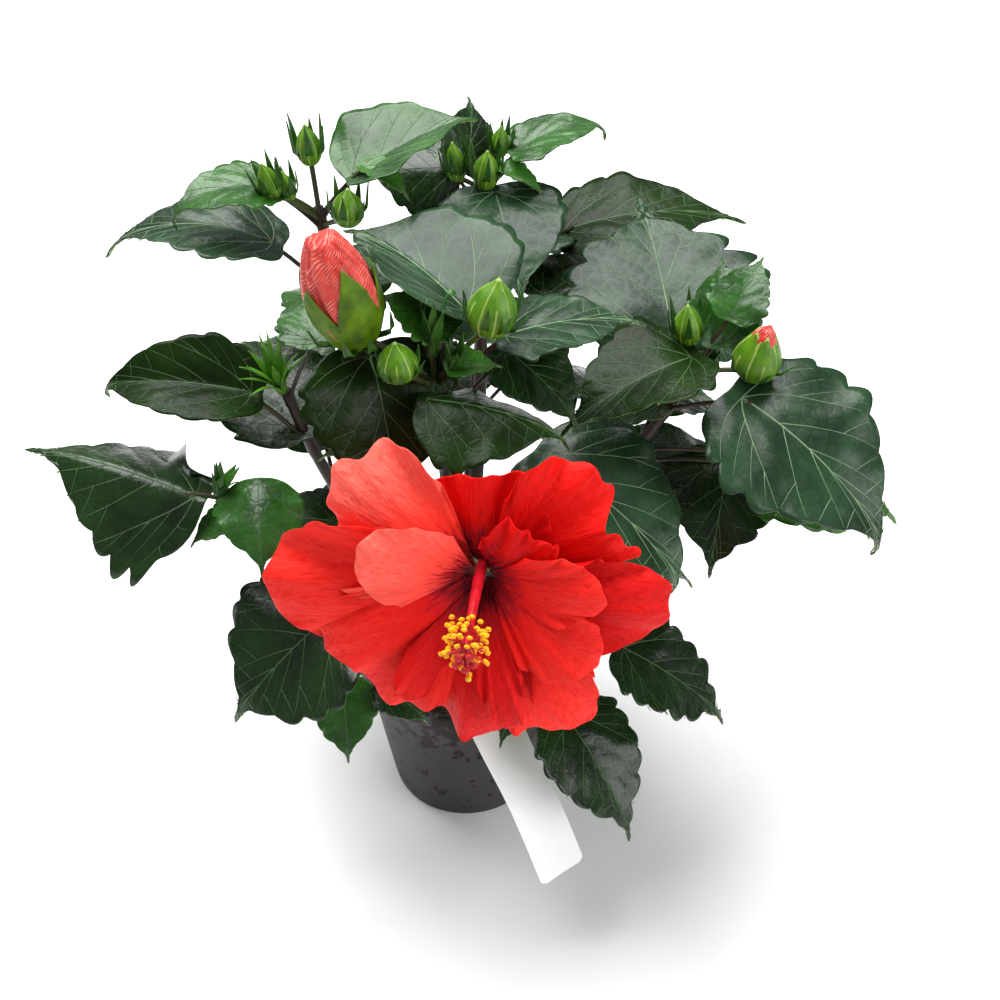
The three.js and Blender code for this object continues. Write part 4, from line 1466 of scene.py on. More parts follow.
# Short names for the table that follows. A leaf without a tone is Tone.DEEP.
M, G, O, Y = Tone.MID, Tone.GREY, Tone.OLIVE, Tone.YOUNG
SHOOTS = (
    Shoot(
        "centre", ((0, -3, 115), (-4, -14, 190), (-8, -32, 268)), 0.5, MAIN,
        (
            Leaf(0.9, (12, 5, 38), 135, 8, 8, 72, 1.06, fold=30, tone=G, curl=15, lobed=0.5),
            Leaf(0.92, (26, 2, 27), 12, 0, -4, 58, 0.8, fold=5, tone=G, curl=15),
            Leaf(0.88, (-4, -20, 19), -6, -14, 0, 60, 0.9, fold=-26, tone=O, curl=40, lobed=0.8),
            Leaf(0.8, (-26, -3, 40), -70, -62, 0, 62, 1, 50, tone=O),
            Leaf(0.95, (6, -12, 18), 19, -5, 10, 22, fold=30, tone=Y, lobed=1.6),
            Leaf(0.8, (25, 6, 35), -36, -30, 0, 44, 0.95),
            Leaf(0.93, (7, 1, 31), 156, 12, -15, 34, 0.8, tone=Y, curl=10, lobed=1.3),
        ),
        (
            Bud(0.99, (-27, -2, 20), -149, 76, 48, 27, BudKind.FURLED, 67),
            Bud(0.96, (-12, -16, 17), 180, 86, 16, 15, BudKind.PLUMP),
            Bud(0.98, (21, -4, 27), 0, 80, 23, 18, BudKind.PLUMP),
            Bud(0.98, (0, -6, 17), 75, 83, 22, 14, BudKind.TUFT),
            Bud(0.97, (8, -9, 11), 0, 86, 15, 10, BudKind.TUFT),
        ),
    ),
    Shoot(
        "top_left", ((-4, 3, 112), (-38, 18, 200), (-58, 50, 296)), 0.5, MAIN,
        (
            Leaf(0.97, (14, 0, 20), 26, 16, 2, 60, 0.92, 20, 24, tone=M, curl=30, lobed=0.4),
            Leaf(0.95, (-19, 0, 17), -160, -6, -5, 48, 0.72, 75, tone=M, curl=80, lobed=1.2),
            Leaf(0.78, (-28, 4, 26), 176, -2, 0, 76, 0.66, 70, tone=G, lobed=1.3),
            Leaf(0.98, (19, -4, 24), -20, -25, 0, 24, fold=30, tone=Y, lobed=1.6),
        ),
        (
            Bud(0.99, (-1, -2, 23), 180, 86, 17, 10),
            Bud(0.97, (-17, -8, 16), -150, 76, 16, 9),
            Bud(0.96, (12, -12, 8), 0, 86, 16, 13),
            Bud(0.98, (-11, -4, 10), 180, 80, 13, 7),
        ),
        Rule(3, 100, 50, 0.8, (0,)),
    ),
    Shoot(
        "top_right", ((2, 5, 115), (10, 30, 200), (10, 80, 292)), 0.5, MAIN,
        (
            Leaf(0.97, (14, 1, 18), 22, 6, 0, 48, 0.66, 55, tone=M, curl=90, lobed=0.6),
            Leaf(0.97, (8, -7, 15), -14, -25, 0, 22, fold=30, tone=Y, lobed=1.8),
            Leaf(0.97, (-8, 3, 10), 85, 40, 40, 36, 0.85),
            Leaf(0.93, (-12, 7, 18), 178, -6, -30, 42, 1.05, fold=-15),
            Leaf(0.8, (36, 28, 4), 6, 2, 6, 86, 0.68, 45, tone=O, curl=10, lobed=0.8),
            Leaf(0.85, (5, 4, 27), -77, -24, 0, 60, 0.92, tone=G, curl=10, lobed=0.6),
            Leaf(0.6, (28, 6, 31), 50, -8, 0, 60),
        ),
        (
            Bud(0.98, (1, -8, 6), 0, 86, 17, 11),
            Bud(0.99, (7, 6, 11), 0, 86, 14, 8),
            Bud(0.98, (-11, 0, 5), 180, 84, 18, 9),
        ),
        Rule(3, 85, 70, 0.85, (0,)),
    ),
    Shoot(
        "right", ((4, 0, 112), (52, -8, 165), (98, 4, 246)), 0.45, MAIN,
        (
            Leaf(0.88, (27, -9, 12), -36, -31, 14, 94, 0.82, 60, tone=G, curl=70, cup=4, wavy=1.4, lobed=1.1),
            Leaf(0.75, (50, 1, -6), -6, -22, 18, 78, 0.84, tone=Y),
            Leaf(0.7, (46, 2, 3), -104, -42, 0, 55, 1, lobed=1.5),
            Leaf(0.9, (7, -3, 25), -152, -14, 0, 66, 0.84, fold=14, tone=O, curl=20, lobed=1.3),
            Leaf(0.88, (3, 16, 22), 98, 20, -2, 82, 1.1, fold=4, tone=G, curl=0, lobed=1.8),
            Leaf(0.97, (13, 2, 17), 88, 36, 0, 40, 0.85, fold=16, tone=M, lobed=1.6),
            Leaf(0.98, (14, 1, 28), 56, 34, 10, 31, 0.85, tone=M, lobed=1.6),
            Leaf(0.75, (13, 6, 22), -179, -20, 0, 40),
        ),
        (
            Bud(0.98, (-2, 4, 15), 180, 85, 18, 12),
            Bud(0.99, (23, -6, 4), -43, 80, 24, 19, BudKind.TIPPED),
            Bud(0.98, (9, 4, -3), 180, 86, 13, 10, BudKind.TUFT),
        ),
        Rule(2, 75, 50, 0.8),
    ),
    Shoot(
        "left", ((-4, 0, 110), (-52, -4, 160), (-72, 4, 236)), 0.45, MAIN,
        (
            Leaf(0.97, (17, -15, 38), 122, 12, 0, 30, 0.95, tone=M, lobed=1.3),
            Leaf(0.8, (-21, -4, 31), 172, -3, -28, 74, 0.58, 60, 28, tone=O, curl=75, lobed=0.6),
            Leaf(0.6, (-15, 0, 35), 118, 5, 0, 78),
            Leaf(0.5, (20, -4, 47), 178, -12, 0, 38),
        ),
        (Bud(0.99, (-1, -4, 4), -120, 74, 27, 24, BudKind.SHOOT, 10),),
        Rule(2, 100, 30, 0.7, (0,)),
    ),
    Shoot(
        "low_left", ((-4, -4, 100), (-50, -22, 150), (-94, -36, 214)), 0.45, MAIN,
        (
            Leaf(
                0.92, (-18, -6, 9), 166, 10, -12, 76, 1.06,
                fold=-36, curl=10, turned=-150, turned_to=0.35, lobed=1.6,
            ),
            Leaf(0.9, (6, -7, 21), -84, -34, 0, 40, 1.0, tone=M, curl=20, fold=-20),
            Leaf(0.92, (-3, -5, 1), -150, -20, 0, 24, tone=M),
        ),
        (Bud(0.99, (-3, -4, 4), 0, 70, 13, 14, BudKind.TUFT),),
    ),
    Shoot(
        "front", ((3, -5, 98), (16, -13, 146), (18, -30, 196)), 0.6, MAIN,
        (
            Leaf(0.95, (16, 0, 33), -34, -27, 6, 86, 0.84, 50, tone=G, curl=100),
            Leaf(0.75, (-14, -4, 22), -120, -30, 0, 44),
        ),
    ),
    Shoot(
        "skirt_left", ((-4, -4, 93), (-20, -22, 104), (-36, -42, 126)), 0.5, SKIRT,
        (
            Leaf(0.95, (-16, -20, 46), -153, -40, -20, 69, 1.04),
            Leaf(0.8, (-22, -20, 2), -85, -50, 0, 38, tone=M),
            Leaf(0.9, (-4, -18, -4), -20, -30, 0, 30),
        ),
    ),
    Shoot(
        "skirt_right", ((4, -3, 93), (22, -20, 106), (40, -42, 124)), 0.5, SKIRT,
        (
            Leaf(0.97, (31, -8, 12), -16, -33, 8, 62, 0.84, lobed=2.2),
            Leaf(0.8, (12, -28, -11), -50, -40, -5, 66, 0.84, lobed=1.4),
            Leaf(0.9, (-6, -14, -2), -120, -35, 0, 34),
        ),
    ),
    Shoot(
        "back", ((0, 5, 104), (2, 45, 150), (8, 105, 205)), 0.45, MAIN,
        rule=Rule(7, 90, 80, left_out=(0,)),
    ),
    Shoot(
        "back_left", ((-4, 5, 100), (-32, 40, 135), (-66, 84, 185)), 0.45, MAIN,
        rule=Rule(7, 110, 60, left_out=(0, 4, 5)),
    ),
    Shoot(
        "back_right", ((4, 4, 102), (40, 32, 155), (80, 86, 226)), 0.45, MAIN,
        rule=Rule(7, 60, 75, left_out=(3,)),
    ),
    Shoot(
        "skirt_back_left", ((-4, 3, 92), (-28, 26, 100), (-52, 42, 120)), 0.5, SKIRT,
        rule=Rule(4, 130, 50),
    ),
    Shoot(
        "skirt_back_right", ((4, 3, 92), (28, 24, 100), (54, 36, 120)), 0.5, SKIRT,
        rule=Rule(4, 55, 45),
    ),
)


# Bark of a young shrub: brown-grey and rough, with almost no gloss.
BARK = Finish("young bark", "#30231b", "#1a110c", 5, 1.4, 0.25, (0.55, 0.72))
STALK_FINISHES = (
    # Twigs that have turned brown in the sun: smoother than the bark, with a weak sheen.
    Finish("green twig, sun-browned", "#33241c", "#1e1310", 9, 0.9, 0.1, (0.42, 0.56)),
    # Leaf stalks: green going brown, a little glossy.
    Finish("leaf stalk", "#3c3a1c", "#2a1c14", 16, 0.8, 0.08, (0.36, 0.5)),
    # Bud stalks: the youngest and so the greenest.
    Finish("bud stalk", "#4c5a20", "#35321a", 10, 0.8, 0.08, (0.36, 0.5)),
)


@dataclass
class Foliage:
    """The masses: each shoot's upper stem with its stalks, its leaves, and its buds."""

    shapes: tuple[BladeShape, ...] = field(default_factory=lambda: tuple(BladeShape(n) for n in range(3)))
    stalk_radius: float = 1.0
    stalk_bow: float = 0.12
    bud_stalk_radius: float = 1.1
    stalk_points: int = 12
    stalk_sides: int = 10
    stem_points: int = 30
    stem_sides: int = 12
    joint_swell: float = 0.18
    joint_length: float = 0.012
    sunk: float = 0.14

    def stalk(self, start: Array, end: Array, radius: float) -> Array:
        """Make a stalk that bows from the stem and thickens at both ends.

        Args:
            start: its point on the stem.
            end: its point on the blade or bud.
            radius: its radius in the middle.

        Returns:
            Its points, ring by ring.
        """
        middle = (start + end) / 2 + UP * self.stalk_bow * np.linalg.norm(end - start)
        share = np.linspace(0, 1, self.stalk_points)
        swell = 1 + 0.35 * np.exp(-share / 0.06) + 0.25 * np.exp(-(1 - share) / 0.06)
        return tube(bezier(np.array([start, middle, end]), share), radius * swell, self.stalk_sides)

    def build(self, leaf_materials: Materials, bud_materials: Materials, stem_materials: Materials) -> None:
        """Build every shoot's leaves, twigs and buds.

        Args:
            leaf_materials: the finishes of the blades, in the order of Tone.
            bud_materials: the finishes of the buds, in the order of BudPart.
            stem_materials: the finishes of the twigs, of the leaf stalks and of the bud stalks.
        """
        number = 0
        for shoot in SHOOTS:
            blades, twigs, buds = Patchwork(), Patchwork(), Patchwork()
            share = np.linspace(shoot.bare + 0.003, 1, self.stem_points)
            path = bezier(np.array(shoot.curve), share)
            spots = [item.at for item in (*shoot.every_leaf(), *shoot.buds)]
            joints = sum(np.exp(-(((share - spot) / self.joint_length) ** 2)) for spot in spots)
            radius = shoot.radius(share) * (1 + self.joint_swell * np.minimum(joints, 1))
            twigs.add(tube(path, radius, self.stem_sides), 0)
            for leaf in shoot.every_leaf():
                node = bezier(np.array(shoot.curve), leaf.at)[0]
                blade = Blade(leaf, node + np.array(leaf.off), self.shapes[number % len(self.shapes)], number)
                blade.add_to(blades)
                root = blade.place(np.array([self.sunk]), np.array([0.0]), np.array([-0.5]))[0]
                radius = self.stalk_radius * (0.7 + 0.3 * leaf.size / USUAL_BLADE)
                twigs.add(self.stalk(node, root, radius), 1)
                number += 1
            for bud in shoot.buds:
                node = bezier(np.array(shoot.curve), bud.at)[0]
                form = BudForm(bud, node + np.array(bud.off), number)
                form.add_to(buds)
                root = form.base + form.axis * 0.06 * bud.size
                twigs.add(self.stalk(node, root, self.bud_stalk_radius), 2)
                number += 1
            leaves = blades.build(f"leaves_{shoot.name}", leaf_materials)
            finish_object(leaves, "leaf", f"foliage_{shoot.name}")
            finish_object(twigs.build(f"twigs_{shoot.name}", stem_materials), "bark")
            if shoot.buds:
                finish_object(buds.build(f"buds_{shoot.name}", bud_materials), "leaf")


@dataclass
class Wood:
    """The trunk and the boughs, with the rings and ridges of young bark."""

    top: float = 116.0
    foot: float = 84.2
    # Shares of the height, and the radius at each.
    profile: tuple[tuple[float, ...], ...] = ((0, 0.06, 0.25, 0.65, 0.93, 1), (8.5, 7.2, 6, 5.4, 5, 3.2))
    lean: float = -1.5
    trunk_grid: tuple[int, int] = (30, 28)
    bough_grid: tuple[int, int] = (40, 18)
    ring_spacing: float = 13.0
    ring_height: float = 0.035

    def bark(self, rows: int, sides: int, length: float, number: int) -> Array:
        """Give the bark's relief as a factor on the radius.

        Args:
            rows: rings of points along the limb.
            sides: points round it.
            length: its length.
            number: a number that sets its ridges apart from the next limb's.

        Returns:
            A factor for each point.
        """
        along = np.linspace(0, length, rows)[:, None]
        angle = angles_round(sides)[None, :]
        ridges = 0.025 * np.sin(5 * angle + 0.21 * along + number) + 0.02 * np.sin(9 * angle - 0.13 * along)
        rings = self.ring_height * np.exp(-(((along % self.ring_spacing) - self.ring_spacing / 2) ** 2) / 1.2)
        return 1 + ridges + rings

    def build(self, materials: Materials) -> None:
        """Build the trunk with its root flare, and a tapering limb for each bough.

        Args:
            materials: the bark.
        """
        work = Patchwork()
        rows, sides = self.trunk_grid
        share = np.linspace(0, 1, rows)
        path = np.stack([self.lean * share, 0 * share, self.foot + (self.top - self.foot) * share], -1)
        radius = np.interp(share, *self.profile)
        lobes = np.cos(5 * angles_round(sides))
        flare = 1 + 0.12 * np.exp(-share / 0.12)[:, None] * lobes
        relief = self.bark(rows, sides, self.top - self.foot, 0) * flare
        work.add(tube(path, radius, sides, relief), 0)
        rows, sides = self.bough_grid
        for number, shoot in enumerate(SHOOTS):
            at = np.linspace(0, shoot.bare, rows)
            limb = bezier(np.array(shoot.curve), at)
            length = float(step_lengths(limb).sum())
            work.add(tube(limb, shoot.radius(at), sides, self.bark(rows, sides, length, number)), 0)
        made = work.build("bark_trunk_and_boughs", materials)
        finish_object(made, "bark", "trunk", *(f"bough_{shoot.name}" for shoot in SHOOTS))


# ---------- Bloom ----------


class Shade(Enum):
    """Which red a petal is painted: partly its own tint, and partly painted light and shade, paler for those
    that face the sky and deep red for those in shadow or folded.
    """

    CORAL = 0
    RED = 1
    SCARLET = 2
    DEEP = 3


@dataclass(frozen=True)
class Petal:
    """A petal: where round the axis it lies, how far it reaches, and how it lifts, curls and ruffles.

    The `shoulder` is higher the nearer to the end it is widest, and `blunt` lower the squarer the end.
    """

    name: str
    azimuth: float
    reach: float
    half: float
    lift: float
    curl: float
    ruffle: float
    phase: float
    shade: Shade = Shade.RED
    frill: float = 1.0
    shoulder: float = 1.7
    blunt: float = 0.5


PETALS = (
    Petal("left", 179, 77, 26, 22, 9, 3, 0.3, Shade.RED, 1.0, 1.9, 0.3),
    Petal("top_left", 147, 66, 29, 18, 10, 4, 1.7, Shade.CORAL, 1.8),
    Petal("top", 88, 43, 25, 10, 2, 3, 0.8, Shade.SCARLET),
    Petal("top_right", 39, 63, 25, 16, 8, 5, 2.6, Shade.SCARLET, 2.2),
    Petal("right", -4, 70, 20, 22, 12, 4, 1.1, Shade.DEEP, 1.2),
    Petal("low_right", -57, 69, 22, 24, 10, 3, 3.9, Shade.RED, 1.5),
    Petal("bottom", -96, 60, 26, 26, 8, 3, 0.2, Shade.DEEP, 1.9),
    Petal("low_left", -140, 65, 28, 24, 10, 3, 2.2, Shade.RED, 1.4),
    Petal("inner_left", 148, 47, 18, 34, 2, 1, 0.4, Shade.CORAL, 0.6, 1.3),
    Petal("inner_right", 15, 48, 14, 34, 4, 2, 1.9, Shade.RED, 0.6, 1.3),
    Petal("inner_low_right", -27, 51, 16, 32, 6, 2, 2.9, Shade.RED, 0.9, 1.4),
    Petal("inner_top", 46, 33, 16, 22, 0, 3, 0.6, Shade.SCARLET, 2.4),
    Petal("inner_fold", -73, 52, 8, 34, 4, 1, 1.4, Shade.DEEP, 1.2),
)


# Petals: thin, satin, with a little light through them. The reds are partly painted light and shade: paler
# for petals in light, deep red for petals in shadow.
PETAL_FINISHES = {
    Shade.CORAL: PetalFinish("petal, coral", "#ff6c5e", "#f8473b", 20, 2, 0.9, (0.46, 0.6)),
    Shade.RED: PetalFinish("petal, red", "#ee2c24", "#d81410", 20, 2, 0.9, (0.46, 0.6)),
    Shade.SCARLET: PetalFinish("petal, scarlet", "#ec1a14", "#d60c0c", 20, 2, 0.9, (0.46, 0.6)),
    Shade.DEEP: PetalFinish("petal, deep red, painted shade", "#d41614", "#b8060a", 20, 2, 0.9, (0.46, 0.6)),
}
COLUMN_FINISHES = (
    # The column: fleshy and smooth, so light gets into it and it has a soft sheen.
    Finish("column, deep red", "#cc1426", "#a80a1a", 6, 1.0, 0.05, (0.4, 0.5), subsurface=0.1),
    # Anthers: covered in grains of pollen, which makes them dull and bright yellow.
    Finish("pollen", "#ffc400", "#f0a000", 1.5, 0.4, 0.12, (0.7, 0.85)),
    # Pads of the stigma: a velvet of fine hairs, dull and dark red.
    Finish("stigma pad, velvet red", "#c00c14", "#8e060c", 1.5, 0.4, 0.15, (0.6, 0.75)),
)


# Waves across a petal's rim, each with its height, its number, and how many times the petal's phase it takes.
BAYS = ((0.035, 4.3, 2), (0.022, 9.7, 5), (0.012, 23, 3))
FRILLS = ((0.9, 17, 4), (0.55, 29, 7), (0.25, 47, 1))


def ripple(waves: tuple[tuple[float, ...], ...], across: Array, phase: float) -> Array:
    """Add up a petal's waves at places across it, which run from -1 to 1."""
    return sum(high * np.sin(count * across + times * phase) for high, count, times in waves)


@dataclass
class Bloom:
    """The double bloom: ruffled petals round a throat, the column with its anthers, and the cup behind."""

    throat: Place = THROAT
    heading: float = -95
    rise: float = 14
    claw: float = 3
    claw_half: float = 0.6
    shoulder_at: float = 0.44
    cup: float = 0.1
    thick: float = 0.55
    rows: int = 54
    columns: int = 71
    column_length: float = 62
    column_radius: float = 1.9
    tube_length: float = 26
    anthers: int = 84
    anther_from: float = 0.76
    anther_to: float = 0.96
    anther_reach: float = 6.0
    anther_size: tuple[float, float] = (0.68, 1.0)
    thread_radius: float = 0.24
    pads: int = 5
    pad_size: tuple[float, float] = (1.5, 1.1)
    pad_stalk_radius: float = 0.5
    column_bow: float = 0.12
    # Shares of the cup's length, and the radius at each.
    cup_profile: tuple[tuple[float, ...], ...] = ((0, 0.15, 0.6, 1), (2.6, 4.0, 5.4, 6.6))
    cup_width: float = 13.5
    sepals: int = 5
    bracts: int = 8
    stalk_radius: float = 1.7

    def __post_init__(self) -> None:
        """Set the bloom's directions: to the right and up as it is looked into, and out of it."""
        self.axis = aim(self.heading, self.rise)
        self.right = unit(np.cross(UP, self.axis))
        self.up = np.cross(self.axis, self.right)
        self.middle = np.array(self.throat, float)

    def place(self, right: Array, up: Array, out: Array) -> Array:
        """Give points from their distances right, up and out of the throat."""
        sideways = right[..., None] * self.right + up[..., None] * self.up
        return self.middle + sideways + out[..., None] * self.axis

    def margin(self, item: Petal) -> Array:
        """Give a petal's outline from one shoulder round its end to the other.

        Args:
            item: the petal.

        Returns:
            Points at even steps, as distances out and sideways.
        """
        turn = np.linspace(math.asin(self.shoulder_at), math.pi / 2, 160)
        along = np.sin(turn)
        swell = np.clip(np.sin(math.pi * along**item.shoulder), 0, 1)
        half = item.half * swell**item.blunt + self.claw_half
        side = np.stack([along * item.reach, half], -1)
        return evened(np.concatenate([side, side[::-1] * [1, -1]]), self.columns)

    def petal(self, item: Petal) -> Array:
        """Make one petal: a narrow claw, a broad ruffled fan and a crimped margin that curls back.

        Args:
            item: the petal.

        Returns:
            Its points, ring by ring.
        """
        rim = self.margin(item)
        u = (np.linspace(0, 1, self.rows) ** 0.85)[:, None]
        v = np.linspace(1, -1, self.columns)[None, :]
        p = item.phase
        inset = 1 - v**8
        grow = 1 + (ripple(BAYS, v, p) * item.frill * u**3 - 0.02) * inset
        out = self.claw + (rim[None, :, 0] * grow - self.claw) * u
        side = rim[None, :, 1] * grow * u
        along = np.clip(out / item.reach, 0, 1.05)
        flare = item.lift * along * (2 - along) - item.curl * along**4
        wave = np.sin(7 * v + p) + 0.6 * np.sin(13 * v * along + 2 * p)
        pleat = 0.55 * np.cos(15 * v + 3 * p) + 0.3 * np.cos(26 * v + p)
        height = (
            flare
            + item.ruffle * u**2 * wave
            + self.cup * item.half * v**2 * u
            + item.frill * ripple(FRILLS, v, p) * u**5
            + pleat * u * smooth(0.0, 0.4, u) * (1 - 0.3 * u)
        )
        turn = math.radians(item.azimuth)
        right = out * math.cos(turn) - side * math.sin(turn)
        up = out * math.sin(turn) + side * math.cos(turn)
        thick = self.thick * (1 - 0.5 * u**4)
        return sheet(*(self.place(right, up, height + s * thick / 2) for s in (1, -1)))

    def column(self, work: Patchwork) -> None:
        """Add the column, its anthers on their threads, and the five pads at its tip.

        Args:
            work: the mesh it goes in.
        """
        start = self.middle - self.axis * self.tube_length / 2
        end = self.middle + self.axis * self.column_length
        bend = (start + end) / 2 + UP * self.column_bow * np.linalg.norm(end - start)
        curve = np.array([start, bend, end])
        rng = np.random.default_rng(SEED + 5)
        share = np.linspace(0, self.anther_to, 40)
        work.add(tube(bezier(curve, share), self.column_radius * (1.35 - 0.65 * share), 16), 0)
        for i in range(self.anthers):
            at = self.anther_from + (self.anther_to - self.anther_from) * ((i + rng.random()) / self.anthers)
            point, ahead = bezier(curve, at)[0], bezier(curve, at + 0.02)[0]
            forward = unit(ahead - point)
            side = unit(np.cross(forward, UP))
            angle = math.radians(SPIRAL * i) + rng.uniform(-0.7, 0.7)
            aside = side * math.cos(angle) + np.cross(forward, side) * math.sin(angle)
            out = unit(aside + forward * rng.uniform(0.1, 0.8))
            reach = self.anther_reach * rng.uniform(0.6, 1.2)
            tip = point + out * (reach + self.column_radius)
            thread = np.array([point, point + out * reach * 0.6 + forward * 0.8, tip])
            work.add(tube(bezier(thread, np.linspace(0, 1, 5)), np.full(5, self.thread_radius), 6), 0)
            across = unit(np.cross(out, forward))
            for k in (-1, 1):
                work.add(bead(tip + out * 0.32 * k, *self.anther_size, across, 6, 8), 1)
        fork = bezier(curve, self.anther_to)[0]
        forward = unit(end - fork)
        side = unit(np.cross(forward, UP))
        for k in range(self.pads):
            angle = math.tau * k / self.pads + 0.4
            out = side * math.cos(angle) + np.cross(forward, side) * math.sin(angle)
            tip = fork + forward * 5.0 + out * 3.2
            arm = np.array([fork, fork + forward * 3.6 + out * 0.8, tip])
            work.add(tube(bezier(arm, np.linspace(0, 1, 8)), np.full(8, self.pad_stalk_radius), 8), 2)
            work.add(bead(tip, *self.pad_size, unit(forward + 0.5 * out), 8, 12), 2)

    def cup_behind(self, work: Patchwork) -> None:
        """Add the green tube behind the petals with its lobes and bracts, and the stalk that carries it.

        Args:
            work: the mesh it goes in.
        """
        back = self.middle - self.axis * self.tube_length
        share = np.linspace(0, 1, 20)
        radius = np.interp(share, *self.cup_profile)
        sides = 24
        ribs = 1 + 0.05 * np.cos(5 * angles_round(sides))[None]
        path = back + (self.middle - back) * (share[:, None] * 0.72)
        work.add(tube(path, radius, sides, ribs), BudPart.CALYX.value)
        bud = Bud(0, (0, 0, 0), self.heading, self.rise, self.tube_length, self.cup_width)
        form = BudForm(bud, back, 3)
        for k in range(self.sepals):
            form.sepal(work, math.tau * k / self.sepals, self.tube_length * 0.84, 0.5)
        for k in range(self.bracts):
            form.bract(work, math.tau * (k + 0.5) / self.bracts, 15, 2.4, 5.0, BudPart.BRACT)
        front = next(shoot for shoot in SHOOTS if shoot.name == "front")
        foot = np.array(front.curve[2], float)
        heading = unit(foot - np.array(front.curve[1], float))
        bend = foot + heading * 0.5 * np.linalg.norm(back - foot)
        neck = np.array([foot, bend, back + self.axis * 0.5])
        share = np.linspace(0, 1, 30)
        swell = 0.5 * np.exp(-(1 - share) / 0.05) + 0.3 * np.exp(-share / 0.05)
        work.add(tube(bezier(neck, share), self.stalk_radius + swell, 12), BudPart.CALYX.value)

    def build(
        self, petal_materials: Materials, column_materials: Materials, cup_materials: Materials
    ) -> None:
        """Build the petals one by one, the column, and the cup behind.

        Args:
            petal_materials: the finishes that the petals' shades refer to.
            column_materials: the finishes of the column, of the anthers and of the pads.
            cup_materials: the finishes of the buds, in the order of BudPart.
        """
        for item in PETALS:
            work = Patchwork()
            work.add(self.petal(item), 0)
            made = work.build(f"petal_{item.name}", [petal_materials[item.shade.value]])
            finish_object(made, "petal", "bloom")
        work = Patchwork()
        self.column(work)
        finish_object(work.build("bloom_column", column_materials), None)
        work = Patchwork()
        self.cup_behind(work)
        finish_object(work.build("bloom_cup", cup_materials), "leaf")


# ---------- Pot, soil and label ----------

# Injection-moulded polypropylene: a charcoal grey satin that dulls where peat has dried on it.
POT_PLASTIC = PotFinish(
    "moulded polypropylene, satin", "#423d3e", "#383435", 40, 0.8, 0.03, (0.42, 0.58),
    ior=1.49, specular=0.2,
)
# Moist peat mix: dark brown, crumbly and without gloss. The perlite in it is a chalky white.
PEAT_FINISHES = (
    Finish("moist peat", "#3a281c", "#1c120c", 4, 1.2, 0.6, (0.85, 1.0)),
    Finish("perlite grain", "#d8d4c8", "#b8b2a2", 2, 0.6, 0.2, (0.8, 0.95)),
)
# Printed-label stock, left blank: smooth rolled polystyrene, so it takes an even soft sheen.
CARD = LabelFinish("polystyrene card, white", "#fbfbfd", "#f2f2f5", 30, 0.6, 0.01, (0.35, 0.45), ior=1.55)


